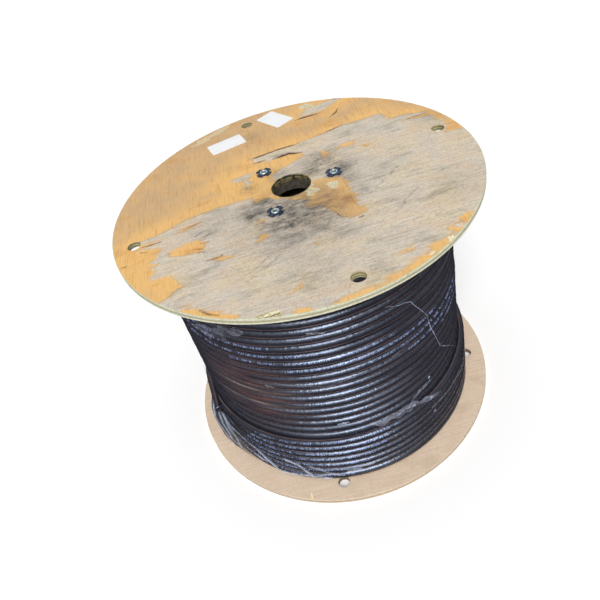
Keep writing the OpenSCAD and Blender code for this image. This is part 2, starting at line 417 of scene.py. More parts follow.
@dataclass(frozen=True)
class PeeledPlywood:
    """Thin plywood whose grey face veneer has peeled and worn from the orange ply below.

    To the eye: dull pinkish-grey wood, smudged and scuffed along X, wearing thin in soft frayed
    edges over a tan to orange ply with hairline pores along Y, with black-brown stains round the
    bolts and dark red-brown splits. The dark red-brown of the splits, a thin darkening along the
    veneer's torn edge and the dark marks in the rim chip are painted shade.
    """

    veneer: str = "#DCCBB7"
    veneer_cool: str = "#C7BEAD"
    veneer_olive: str = "#D6C5A0"
    veneer_light: str = "#EAE1D4"
    veneer_blush: str = "#D9B79B"
    smudge: str = "#857869"
    speck: str = "#9A8D7D"
    ply: str = "#F1C178"
    ply_tan: str = "#D2AE80"
    ply_veil: str = "#CBA884"
    ply_deep: str = "#D8964A"
    ply_dark: str = "#A8743C"
    edge_shadow: str = "#8A5E38"
    stain: str = "#45423E"
    rust: str = "#8A5A3C"
    split_and_shade: str = "#48200F"
    fresh_wood: str = "#FBF6DE"
    fresh_dark: str = "#CFC084"
    # Olive toward which a chip is blended: painted shade on the rim chip, the wood's own tone on the other
    # chips
    hollow: str = "#847547"
    fibre_long: float = 22 * MM
    fibre_wide: float = 1.0 * MM
    fibre_turn: float = -0.09
    scuff_turn: float = -0.8
    smear_long: float = 34 * MM
    smear_wide: float = 13 * MM
    cloud_wide: float = 48 * MM
    fleck_wide: float = 1.6 * MM

    def material(self) -> bpy.types.Material:
        """Makes the material, which reads the flange's attributes of wear and of painted shade."""
        material, tree = new_material("peeled_weathered_plywood")
        place = add_node(tree, "ShaderNodeTexCoord", out="Object")
        worn = {name: attribute(tree, name) for name in UpperFlange.WEAR_AND_SHADE}
        long, wide = 1 / self.fibre_long, 1 / self.fibre_wide
        along_x = stretch(tree, place, (long, wide, 1), self.fibre_turn)
        along_y = stretch(tree, place, (wide, long, 1))
        slanted = stretch(tree, place, (long / 2, wide, 1), self.scuff_turn)
        smeared = stretch(tree, place, (1 / self.smear_long, 1 / self.smear_wide, 1))
        fibre = noise(tree, along_x, 1, 6, 0.6)
        pore = noise(tree, along_y, 1, 6, 0.6)
        scuff = noise(tree, slanted, 1, 6, 0.6)
        smear = noise(tree, smeared, 1, 9, 0.68)
        cloud = noise(tree, place, self.cloud_wide, 6, 0.6)
        fleck = noise(tree, place, self.fleck_wide, 6, 0.6)

        # The grey stays where the veneer is thicker than its frayed fibres are long
        feather = maths(tree, "MULTIPLY_ADD", fibre, 7.0, -5.5)
        frayed = maths(tree, "MULTIPLY_ADD", fleck, 4.0, feather)
        edge = maths(tree, "ADD", worn["veneer"], frayed)
        covered = ramp(tree, edge, (-1.3, 1.3))

        cool_share = ramp(tree, cloud, (0.4, 0.62))
        grey = blend(tree, cool_share, self.veneer, self.veneer_cool)
        olive_share = ramp(tree, cloud, (0.53, 0.39), (0.0, 0.9))
        olive = blend(tree, olive_share, grey, self.veneer_olive)
        light_share = ramp(tree, fibre, (0.42, 0.68), (0.0, 0.7))
        lit = blend(tree, light_share, olive, self.veneer_light)
        blush_share = ramp(tree, smear, (0.5, 0.3), (0.0, 0.55))
        blushed = blend(tree, blush_share, lit, self.veneer_blush)
        speck_share = ramp(tree, fleck, (0.48, 0.72), (0.0, 0.6))
        specked = blend(tree, speck_share, blushed, self.speck)
        smudge_share = ramp(tree, smear, (0.52, 0.78), (0.0, 0.9))
        smudged = blend(tree, smudge_share, specked, self.smudge)
        scuff_share = ramp(tree, scuff, (0.6, 0.75), (0.0, 0.55))
        scuffed = blend(tree, scuff_share, smudged, self.veneer_light)
        hair_share = ramp(tree, scuff, (0.42, 0.28), (0.0, 0.6))
        haired = blend(tree, hair_share, scuffed, self.smudge)

        warm = blend(tree, worn["weather"], self.ply, self.ply_tan)
        veil_share = ramp(tree, smear, (0.5, 0.72), (0.0, 0.6))
        veil_kept = maths(tree, "MULTIPLY", veil_share, worn["weather"])
        veiled = blend(tree, veil_kept, warm, self.ply_veil)
        deep_share = ramp(tree, smear, (0.46, 0.28), (0.0, 0.8))
        deep = blend(tree, deep_share, veiled, self.ply_deep)
        pore_share = ramp(tree, pore, (0.52, 0.74), (0.0, 0.6))
        pored = blend(tree, pore_share, deep, self.ply_dark)
        face = blend(tree, covered, pored, haired)

        # Painted shadow: the face darkens a little within about a millimetre of the veneer's torn edge
        near_edge = maths(tree, "ABSOLUTE", edge)
        torn_share = ramp(tree, near_edge, (0.0, 1.0), (0.25, 0.0))
        torn = blend(tree, torn_share, face, self.edge_shadow)
        rusty = blend(tree, worn["rust"], torn, self.rust)
        stain_share = ramp(tree, fleck, (0.36, 0.6), (0.7, 1.0))
        scored = ramp(tree, scuff, (0.56, 0.68), (1.0, 0.3))
        grime = maths(tree, "MULTIPLY", worn["stain"], stain_share)
        dirt = maths(tree, "MULTIPLY", grime, scored)
        stained = blend(tree, dirt, rusty, self.stain)
        fresh_share = ramp(tree, fleck, (0.42, 0.6))
        fresh = blend(tree, fresh_share, self.fresh_wood, self.fresh_dark)
        # A chip is blended from pale fresh wood toward olive by the hollow attribute: on the rim chip that
        # is painted shade at its torn edge, under its splinter and in its hollow, and on the other chips
        # the wood's own tone
        shaded = blend(tree, worn["hollow"], fresh, self.hollow)
        bared = ramp(tree, worn["fresh"], (0.0, 0.5))
        chipped = blend(tree, bared, stained, shaded)
        # The splits' dark red-brown is painted shade down in the cracks
        colour = blend(tree, worn["split_and_shade"], chipped, self.split_and_shade)
        dull = ramp(tree, covered, (0.0, 1.0), (0.5, 0.7))
        grain = add_node(tree, "ShaderNodeMix", {0: covered, 2: pore, 3: fibre})
        relief = bump(tree, grain, 0.4, 0.3 * MM)
        close_material(tree, {"Base Color": colour, "Roughness": dull, "Normal": relief})
        return material


@dataclass(frozen=True)
class PlywoodEdge:
    """Sawn edge of thin plywood: pale long plies with dirtier end-grain plies between them."""

    name: str = "sawn_plywood_edge"
    long_ply: str = "#D3D2B7"
    end_ply: str = "#A6A184"
    dirt: str = "#6E694C"
    soiled: float = 0.5
    plies: int = 3
    dirty_from: float = 0.45
    dirty_to: float = 0.8
    patch: float = 2 * MM
    sway: float = 0.8 * MM
    sway_long: float = 14 * MM

    def material(self, low_z: float, thickness: float) -> bpy.types.Material:
        """Makes the material.

        Args:
            low_z: height of the flange's lower face.
            thickness: thickness of the flange.

        Returns:
            The material.
        """
        material, tree = new_material(self.name)
        place = add_node(tree, "ShaderNodeTexCoord", out="Object")
        height = add_node(tree, "ShaderNodeSeparateXYZ", {0: place}, "Z")
        wave = noise(tree, place, self.sway_long, 3)
        offset = maths(tree, "MULTIPLY_ADD", wave, self.sway, -self.sway / 2 - low_z)
        level = maths(tree, "ADD", height, offset)
        turn = maths(tree, "MULTIPLY", level, math.pi * self.plies / thickness)
        band = maths(tree, "SINE", turn)
        long_share = ramp(tree, band, (-0.3, 0.3))
        plies = blend(tree, long_share, self.end_ply, self.long_ply)
        grain = noise(tree, place, self.patch, 4)
        dirt_share = ramp(tree, grain, (self.dirty_from, self.dirty_to), (0.0, self.soiled))
        colour = blend(tree, dirt_share, plies, self.dirt)
        relief = bump(tree, grain, 0.4, 0.3 * MM)
        close_material(tree, {"Base Color": colour, "Roughness": 0.75, "Normal": relief})
        return material


@dataclass(frozen=True)
class PlainPlywood:
    """Sanded plywood face, raw and a little soiled: pale tan with soft long grain."""

    name: str = "raw_plywood_face"
    pale: str = "#ECD6BD"
    warm: str = "#E2C7AB"
    soil: str = "#C6AA8E"
    fleck: str = "#B7A894"
    nick: str = "#FBEBBB"
    nick_at: Triple = (-0.0698, -0.1598, 0.0065)
    nick_reach: float = 4.8 * MM
    nick_narrow: float = 4.2
    grain_long: float = 45 * MM
    grain_wide: float = 2.2 * MM
    cloud_wide: float = 30 * MM
    fleck_wide: float = 1.4 * MM

    def material(self) -> bpy.types.Material:
        """Makes the material."""
        material, tree = new_material(self.name)
        place = add_node(tree, "ShaderNodeTexCoord", out="Object")
        along = stretch(tree, place, (1 / self.grain_long, 1 / self.grain_wide, 1))
        grain = noise(tree, along, 1, 5)
        cloud = noise(tree, place, self.cloud_wide, 5)
        share = ramp(tree, grain, (0.38, 0.7))
        wood = blend(tree, share, self.pale, self.warm)
        soiled = ramp(tree, cloud, (0.5, 0.8), (0.0, 0.6))
        worn = blend(tree, soiled, wood, self.soil)
        fine = noise(tree, place, self.fleck_wide, 3)
        fleck_share = ramp(tree, fine, (0.5, 0.75), (0.0, 0.5))
        flecked = blend(tree, fleck_share, worn, self.fleck)
        squeeze = (self.nick_narrow, 1, 1)
        squeezed = add_node(tree, "ShaderNodeVectorMath", {0: place, 1: squeeze}, operation="MULTIPLY")
        nick = tuple(a * b for a, b in zip(self.nick_at, squeeze))
        away = add_node(tree, "ShaderNodeVectorMath", {0: squeezed, 1: nick}, "Value", operation="DISTANCE")
        nicked = maths(tree, "LESS_THAN", away, self.nick_reach)
        colour = blend(tree, nicked, flecked, self.nick)
        relief = bump(tree, grain, 0.25, 0.2 * MM)
        close_material(tree, {"Base Color": colour, "Roughness": 0.66, "Normal": relief})
        return material


@dataclass(frozen=True)
class PolyethyleneJacket:
    """Extruded polyethylene jacket: blue-black, its gloss broken up by the braid under it.

    A row of pale ink flecks runs along it in blocks and spells nothing. Thin red-brown lines run low
    on each turn and near its top, painted reflection of warm bounce light over some dusting, and
    red-brown dirt lies thickest in one smear.
    """

    black: str = "#24242D"
    dust_and_reflection: str = "#836762"
    rust: str = "#95655A"
    silt: str = "#8B8B83"
    ink: str = "#7A89B2"
    gloss: str = "#E4EDFF"
    smear_at: Triple = (-0.095, -0.112, 0.144)
    silt_levels: Point = (0.1490, 0.1288)
    block_every: float = 0.95
    block_share: float = 0.165
    strip_at: float = 0.61
    strip_half: float = 0.03
    groove_at: float = 0.43
    groove_half: float = 0.034
    ridge_at: float = 0.735
    ridge_half: float = 0.02
    stroke: float = 1.0 * MM
    word: float = 8 * MM
    cloud_wide: float = 30 * MM
    smear_span: Point = (14 * MM, 66 * MM)
    streak_long: float = 40 * MM
    silt_half: float = 0.8 * MM
    sheen_long: float = 70 * MM
    sheen_tall: float = 9 * MM
    braid_long: float = 3 * MM
    braid_deep: float = 0.45 * MM

    def material(self) -> bpy.types.Material:
        """Makes the material, which reads running metres and the share round the cable as UV."""
        material, tree = new_material("black_polyethylene_jacket")
        place = add_node(tree, "ShaderNodeTexCoord", out="Object")
        level = add_node(tree, "ShaderNodeSeparateXYZ", {0: place}, "Z")
        run = add_node(tree, "ShaderNodeTexCoord", out="UV")
        metres = add_node(tree, "ShaderNodeSeparateXYZ", {0: run}, "X")
        around = add_node(tree, "ShaderNodeSeparateXYZ", {0: run}, "Y")
        cloud = noise(tree, place, self.cloud_wide, 5)

        # Red-brown dirt smeared thickest in one place, then thin lines low on each turn and near its top:
        # painted reflection of warm bounce light over some dusting
        away = add_node(
            tree, "ShaderNodeVectorMath", {0: place, 1: self.smear_at}, "Value", operation="DISTANCE"
        )
        smear = ramp(tree, away, self.smear_span, (1.0, 0.0))
        low = maths(tree, "SUBTRACT", around, self.groove_at)
        lowness = ramp(tree, low, (0.0, 0.15), (0.95, 0.2))
        streak_at = stretch(tree, run, (1 / self.streak_long, 22, 1))
        streaks = noise(tree, streak_at, 1, 4)
        streak = ramp(tree, streaks, (0.4, 0.62))
        streaked = maths(tree, "MULTIPLY", lowness, streak)
        smeared = maths(tree, "MULTIPLY", smear, streaked)
        # These lines are painted reflection, with a little dusting
        groove = maths(tree, "COMPARE", around, self.groove_at, self.groove_half)
        ridge = maths(tree, "COMPARE", around, self.ridge_at, self.ridge_half)
        edges = maths(tree, "MULTIPLY_ADD", ridge, 0.7, groove)
        reflection_and_dust_share = ramp(tree, cloud, (0.35, 0.65), (0.3, 0.85))
        lined = maths(tree, "MULTIPLY", edges, reflection_and_dust_share)
        clean = blend(tree, lined, self.black, self.dust_and_reflection)
        skin = blend(tree, smeared, clean, self.rust)

        # Grey silt along the backs of two turns
        for height in self.silt_levels:
            on_turn = maths(tree, "COMPARE", level, height, self.silt_half)
            near = maths(tree, "MULTIPLY", on_turn, smear)
            thin = maths(tree, "MULTIPLY", streak, 0.7)
            silted = maths(tree, "MULTIPLY", near, thin)
            skin = blend(tree, silted, skin, self.silt)

        # Flecks of ink in words, lines and blocks
        blocks = maths(tree, "DIVIDE", metres, self.block_every)
        share = maths(tree, "FRACT", blocks)
        in_block = maths(tree, "LESS_THAN", share, self.block_share)
        in_strip = maths(tree, "COMPARE", around, self.strip_at, self.strip_half)
        marks_at = stretch(tree, run, (1 / self.stroke, 14, 1))
        marks = noise(tree, marks_at, 1, 0)
        words_at = stretch(tree, run, (1 / self.word, 0, 1))
        words = noise(tree, words_at, 1, 1)
        spaced = ramp(tree, words, (0.41, 0.45), (0.0, 0.85))
        stroke = ramp(tree, marks, (0.47, 0.55))
        mark = maths(tree, "MULTIPLY", stroke, spaced)
        placed = maths(tree, "MULTIPLY", in_block, in_strip)
        inked = maths(tree, "MULTIPLY", placed, mark)
        colour = blend(tree, inked, skin, self.ink)

        dull = ramp(tree, cloud, (0.0, 1.0), (0.2, 0.34))
        long, tall = 1 / self.sheen_long, 1 / self.sheen_tall
        turn_at = stretch(tree, place, (long, long, tall))
        turns = noise(tree, turn_at, 1, 2)
        sheen = ramp(tree, turns, (0.32, 0.66), (0.35, 1.3))
        braid_at = stretch(tree, run, (1 / self.braid_long, 7, 1))
        braid = noise(tree, braid_at, 1, 2)
        relief = bump(tree, braid, 0.9, self.braid_deep)
        close_material(
            tree,
            {
                "Base Color": colour,
                "Roughness": dull,
                "Normal": relief,
                "Specular Tint": linear(self.gloss),
                "Specular IOR Level": sheen,
            },
        )
        return material


@dataclass(frozen=True)
class MottledFinish:
    """A plain material with a soft mottle between two tones."""

    name: str
    light: str
    dark: str
    grain: float
    roughness: float
    metallic: float = 0.0

    def material(self) -> bpy.types.Material:
        """Makes the material."""
        material, tree = new_material(self.name)
        place = add_node(tree, "ShaderNodeTexCoord", out="Object")
        mottle = noise(tree, place, self.grain, 4)
        share = ramp(tree, mottle, (0.4, 0.68))
        colour = blend(tree, share, self.light, self.dark)
        dull = ramp(tree, mottle, (0.0, 1.0), (self.roughness - 0.1, self.roughness + 0.1))
        close_material(tree, {"Base Color": colour, "Roughness": dull, "Metallic": self.metallic})
        return material


# Finishes that the eye takes in as one material with a little unevenness in it
BLUED_PLATE = MottledFinish("blued_zinc_plate", "#1D2C43", "#4A5D78", 3.0 * MM, 0.32, 0.3)
BRIGHT_STEEL = MottledFinish("bright_zinc_sleeve", "#CFD7D3", "#84908C", 1.8 * MM, 0.3, 0.35)
DULL_STEEL = MottledFinish("dull_zinc_bolt", "#97A29F", "#57625F", 1.6 * MM, 0.4, 0.35)
STICKER = MottledFinish("coated_sticker_paper", "#FBFCFD", "#F3F5F7", 14 * MM, 0.4)
# The drum heads' dark brown stands for the shade inside the drum: painted shade
SHADED_HEAD_BOARD = MottledFinish("drum_head_board_painted_shade", "#564B3C", "#342D24", 3 * MM, 0.85)
FIBRE_TUBE = MottledFinish("wound_fibre_tube", "#9A7B54", "#7C6142", 5 * MM, 0.85)


@dataclass(frozen=True)
class StretchFilm:
    """Clear polyethylene stretch film: unseen where it lies flat, blue-white along its creases, where milky
    creasing carries painted highlights.

    Where it is gathered in many layers it is a dark smoky grey.
    """

    # Blue-white of the creases: milky film, with painted highlights
    tint: str = "#CFD8EE"
    smoke: str = "#2D323E"
    unseen: float = 0.1
    creased: float = 0.85
    crumple_wide: float = 5 * MM
    crumple_deep: float = 0.6 * MM

    def material(self) -> bpy.types.Material:
        """Makes the material, which reads the attributes of the creases, with their painted highlights, and
        of gathered film.
        """
        material, tree = new_material("clear_stretch_film")
        place = add_node(tree, "ShaderNodeTexCoord", out="Object")
        crease_and_highlight = attribute(tree, "crease_and_highlight")
        fine = noise(tree, place, self.crumple_wide, 2)
        broken = ramp(tree, fine, (0.35, 0.65), (0.5, 1.0))
        share = maths(tree, "MULTIPLY", crease_and_highlight, broken)
        cover = ramp(tree, share, (self.unseen, 1.0), (0.0, self.creased))
        gather = attribute(tree, "gather")
        hidden = maths(tree, "MAXIMUM", cover, gather)
        # The creases show blue-white, milky film carrying painted highlights, and gathered film shows dark
        # smoky grey
        colour = blend(tree, cover, self.smoke, self.tint)
        thin = maths(tree, "LESS_THAN", gather, 0.02)
        shade = blend(tree, thin, colour, self.tint)
        relief = bump(tree, fine, 0.3, self.crumple_deep)
        dull = ramp(tree, gather, (0.0, 1.0), (0.2, 0.42))
        mirror = ramp(tree, gather, (0.0, 1.0), (0.5, 0.12))
        close_material(
            tree,
            {
                "Base Color": shade,
                "Roughness": dull,
                "Alpha": hidden,
                "Normal": relief,
                "Specular IOR Level": mirror,
            },
        )
        return material


@dataclass(frozen=True)
class Ring:
    """A round edge of a flange: its rim, or one of its holes."""

    x: float
    y: float
    radius: float
    is_rim: bool

    def reach(self, place: Vector) -> float:
        """Distance of a place from this edge, in plan."""
        return abs(math.hypot(place.x - self.x, place.y - self.y) - self.radius)

    def at(self, place: Vector, inset: float) -> Point:
        """The point of this edge nearest to a place, moved into the wood by inset."""
        away = Vector((place.x - self.x, place.y - self.y)).normalized()
        radius = self.radius - inset if self.is_rim else self.radius + inset
        return (self.x + away.x * radius, self.y + away.y * radius)


# Places on the upper flange are shares of its radius, with X to the right and Y away from the viewer
BARE_PLY: Outline = (
    (1.2, 0.06), (0.885, 0.075), (0.89, 0.105), (0.93, 0.12), (0.925, 0.2), (0.9, 0.3), (0.83, 0.315),
    (0.75, 0.342), (0.89, 0.356), (0.775, 0.4), (0.66, 0.405), (0.66, 0.47), (0.63, 0.497), (0.41, 0.497),
    (0.31, 0.468), (0.135, 0.435), (-0.1, 0.42), (-0.185, 0.41), (-0.155, 0.375), (-0.16, 0.35),
    (-0.09, 0.345), (-0.085, 0.305), (-0.05, 0.335), (0.08, 0.345), (0.125, 0.315), (0.13, 0.27),
    (0.06, 0.235), (0.0, 0.2), (-0.06, 0.155), (-0.075, 0.09), (0.0, 0.0), (0.1, -0.01), (0.225, -0.03),
    (0.285, -0.105), (0.315, -0.135), (0.285, -0.15), (0.29, -0.27), (0.285, -0.345), (0.32, -0.38),
    (0.3, -0.43), (0.225, -0.45), (0.19, -0.41), (0.15, -0.345), (0.105, -0.27), (0.05, -0.245),
    (0.065, -0.195), (0.0, -0.15), (-0.075, -0.105), (-0.15, -0.06), (-0.215, -0.07), (-0.225, -0.01),
    (-0.42, -0.01), (-0.585, -0.035), (-0.73, -0.1), (-0.84, -0.12), (-0.83, -0.15), (-0.74, -0.16),
    (-0.84, -0.2), (-0.725, -0.22), (-0.74, -0.29), (-0.775, -0.36), (-0.765, -0.42), (-0.79, -0.48),
    (-0.69, -0.475), (-0.655, -0.52), (-0.63, -0.585), (-0.705, -0.625), (-0.73, -0.65), (-0.9, -0.75),
    (-1.2, -0.75), (-1.2, 1.2), (1.2, 1.2),
)
BARE_WINDOWS: Sequence[Outline] = (
    ((-0.68, -0.3), (-0.65, -0.27), (-0.54, -0.25), (-0.475, -0.29), (-0.52, -0.355), (-0.645, -0.357)),
    ((-0.49, -0.44), (-0.43, -0.435), (-0.35, -0.48), (-0.435, -0.48)),
    ((-0.62, -0.125), (-0.585, -0.1), (-0.525, -0.097), (-0.6, -0.135)),
    ((-0.255, -0.41), (-0.23, -0.37), (-0.19, -0.375), (-0.195, -0.41), (-0.225, -0.43)),
    ((-0.24, -0.25), (-0.19, -0.24), (-0.185, -0.265), (-0.23, -0.27)),
    ((0.22, 0.255), (0.255, 0.265), (0.27, 0.19), (0.225, 0.18)),
    ((0.285, 0.21), (0.35, 0.27), (0.43, 0.28), (0.41, 0.235), (0.33, 0.235)),
    ((0.43, 0.205), (0.51, 0.19), (0.48, 0.16)),
    ((0.325, 0.145), (0.35, 0.13), (0.335, 0.11)),
    ((0.0, -0.99), (0.04, -0.974), (0.08, -0.96), (0.16, -0.96), (0.22, -0.945), (0.26, -0.92),
     (0.34, -0.897), (0.41, -0.857), (0.455, -0.842), (0.475, -0.803), (0.53, -0.792), (0.58, -0.783),
     (0.7, -0.85), (0.45, -1.0), (0.1, -1.1)),
    ((0.643, -0.718), (0.678, -0.661), (0.736, -0.665), (0.85, -0.65), (0.72, -0.76), (0.684, -0.718)),
    ((0.59, -0.773), (0.615, -0.73), (0.644, -0.729), (0.66, -0.78)),
    ((0.034, -0.557), (0.052, -0.587), (0.03, -0.576)),
    ((-0.4, -0.885), (-0.55, -0.79), (-0.62, -0.74), (-0.75, -0.8), (-0.45, -1.0)),
    ((-0.16, -0.955), (-0.09, -0.965), (-0.1, -1.1), (-0.17, -1.1)),
    ((-0.165, -0.855), (-0.1, -0.8), (-0.11, -0.84)),
    ((0.349, -0.809), (0.364, -0.792), (0.405, -0.788), (0.425, -0.774), (0.41, -0.8), (0.376, -0.807)),
)
VENEER_ISLANDS: Sequence[Outline] = (
    ((0.185, 0.77), (0.22, 0.825), (0.345, 0.877), (0.48, 0.892), (0.495, 0.855), (0.39, 0.81),
     (0.375, 0.765), (0.285, 0.757)),
    ((-0.315, 0.23), (-0.24, 0.25), (-0.19, 0.245), (-0.21, 0.165), (-0.19, 0.15), (-0.23, 0.085),
     (-0.24, 0.19), (-0.3, 0.195)),
)
SPLITS: Sequence[tuple[Outline, float]] = (
    (((-0.185, 0.41), (-0.1, 0.42), (0.05, 0.435), (0.13, 0.437)), 3.4),
    (((0.27, 0.462), (0.33, 0.477), (0.41, 0.5)), 2.6),
    (((-0.16, 0.352), (-0.09, 0.35)), 2.4),
    (((-0.05, 0.338), (0.05, 0.347), (0.125, 0.318)), 2.8),
    (((0.165, 0.745), (0.33, 0.752)), 2.8),
    (((0.37, 0.65), (0.42, 0.69), (0.445, 0.735)), 1.8),
    (((-0.502, -0.444), (-0.425, -0.44)), 2.2),
    (((0.76, 0.347), (0.885, 0.352)), 1.0),
    (((-0.585, -0.109), (-0.508, -0.102)), 1.8),
    (((-0.835, -0.166), (-0.729, -0.178)), 1.8),
    (((-0.53, -0.29), (-0.48, -0.29)), 1.6),
    (((-0.552, -0.323), (-0.52, -0.334)), 1.6),
    (((-0.541, -0.361), (-0.509, -0.369)), 1.6),
    (((-0.546, -0.213), (-0.511, -0.195)), 1.7),
    (((-0.504, -0.24), (-0.466, -0.224)), 1.7),
    (((-0.564, -0.779), (-0.529, -0.82), (-0.48, -0.85)), 1.2),
    (((-0.935, -0.3), (-0.909, -0.302)), 1.4),
    (((-0.841, -0.214), (-0.803, -0.227)), 1.7),
    (((0.257, -0.46), (0.278, -0.456)), 2.8),
    (((0.169, -0.388), (0.181, -0.417)), 1.9),
)
FRESH_CHIPS: Sequence[tuple[Outline, float, float]] = (
    (((0.105, 0.0), (0.112, -0.06), (0.123, -0.124), (0.09, -0.16), (0.063, -0.114),
      (0.09, -0.05)), 0.42, 1.0),
    (((0.18, -0.085), (0.235, -0.085), (0.25, -0.115), (0.225, -0.155), (0.185, -0.13)), 0.3, 1.0),
    (((0.565, -0.785), (0.6, -0.79), (0.585, -0.83)), 0.0, 1.0),
    (((0.455, -0.845), (0.475, -0.86), (0.46, -0.875)), 0.0, 1.0),
    (((0.2, 0.9), (0.235, 0.93), (0.275, 0.937), (0.3, 0.9), (0.295, 0.862), (0.265, 0.86)), 0.25, 0.6),
    (((-0.52, 0.81), (-0.42, 0.88), (-0.34, 0.925), (-0.25, 0.955), (-0.24, 0.93), (-0.33, 0.875),
      (-0.43, 0.81), (-0.49, 0.775)), 0.1, 0.25),
)
STAINS: Sequence[Spot] = (
    ((-0.03, -0.3), 0.24, 0.85), ((-0.17, -0.2), 0.14, 0.8), ((-0.165, -0.105), 0.07, 1.1),
    ((-0.235, -0.16), 0.085, 1.1), ((-0.04, -0.23), 0.07, 0.95), ((0.03, -0.2), 0.06, 0.8),
    ((-0.1, -0.31), 0.07, 0.8), ((-0.2, -0.32), 0.05, 0.7), ((-0.17, -0.42), 0.06, 0.55),
    ((0.1, -0.29), 0.05, 0.7), ((-0.08, -0.36), 0.08, 0.85), ((0.08, -0.42), 0.1, 0.7),
    ((0.28, 0.03), 0.09, 0.7), ((0.14, 0.09), 0.08, 0.6), ((0.2, 0.16), 0.1, 0.7),
    ((-0.13, 0.69), 0.06, 0.35), ((0.315, -0.1), 0.05, 0.6), ((0.33, -0.25), 0.06, 0.35),
    ((-0.06, 0.15), 0.06, 0.6),
    ((-0.22, 0.08), 0.05, 0.65), ((0.75, -0.42), 0.12, 0.22), ((-0.03, -0.72), 0.16, 0.2),
    ((0.87, 0.3), 0.08, 0.3), ((-0.45, -0.15), 0.14, 0.25), ((0.24, -0.86), 0.05, 0.35),
)
SCRATCHES: Sequence[Outline] = (
    ((-0.352, -0.664), (-0.177, -0.53)),
    ((-0.336, -0.699), (-0.159, -0.57)),
    ((0.36, -0.3), (0.56, -0.12)),
    ((0.43, -0.5), (0.58, -0.36)),
)
FRAYED: Sequence[Spot] = (
    ((-0.62, -0.06), 0.2, 0.8), ((-0.38, 0.0), 0.2, 0.7), ((-0.66, -0.7), 0.16, 0.8),
    ((0.66, 0.45), 0.14, 1.5), ((0.25, -0.93), 0.2, 1.2),
)
WARM_PLY: Sequence[Spot] = (
    ((-0.9, -0.3), 0.22, 0.8), ((0.62, 0.68), 0.25, 0.2), ((-0.3, 0.05), 0.2, 0.4),
    ((0.45, -0.9), 0.3, 0.4), ((0.75, -0.68), 0.2, 0.4), ((0.12, -0.97), 0.12, 0.4),
    ((-0.45, -0.87), 0.25, 0.4), ((0.9, -0.4), 0.2, 0.3),
)
RUST_STAINS: Sequence[Spot] = (((0.17, -0.25), 0.08, 0.4), ((0.23, -0.29), 0.06, 0.45))
# The chip in the rim, in shares of the radius outwards and across: its outline, and its torn side
RIM_CHIP: Outline = ((0.985, -0.058), (0.951, 0.03), (0.99, 0.052), (1.1, 0.056), (1.1, -0.062))
CHIP_TEAR: Point = (0.951, 0.027)
CHIP_SLANT = 0.4146


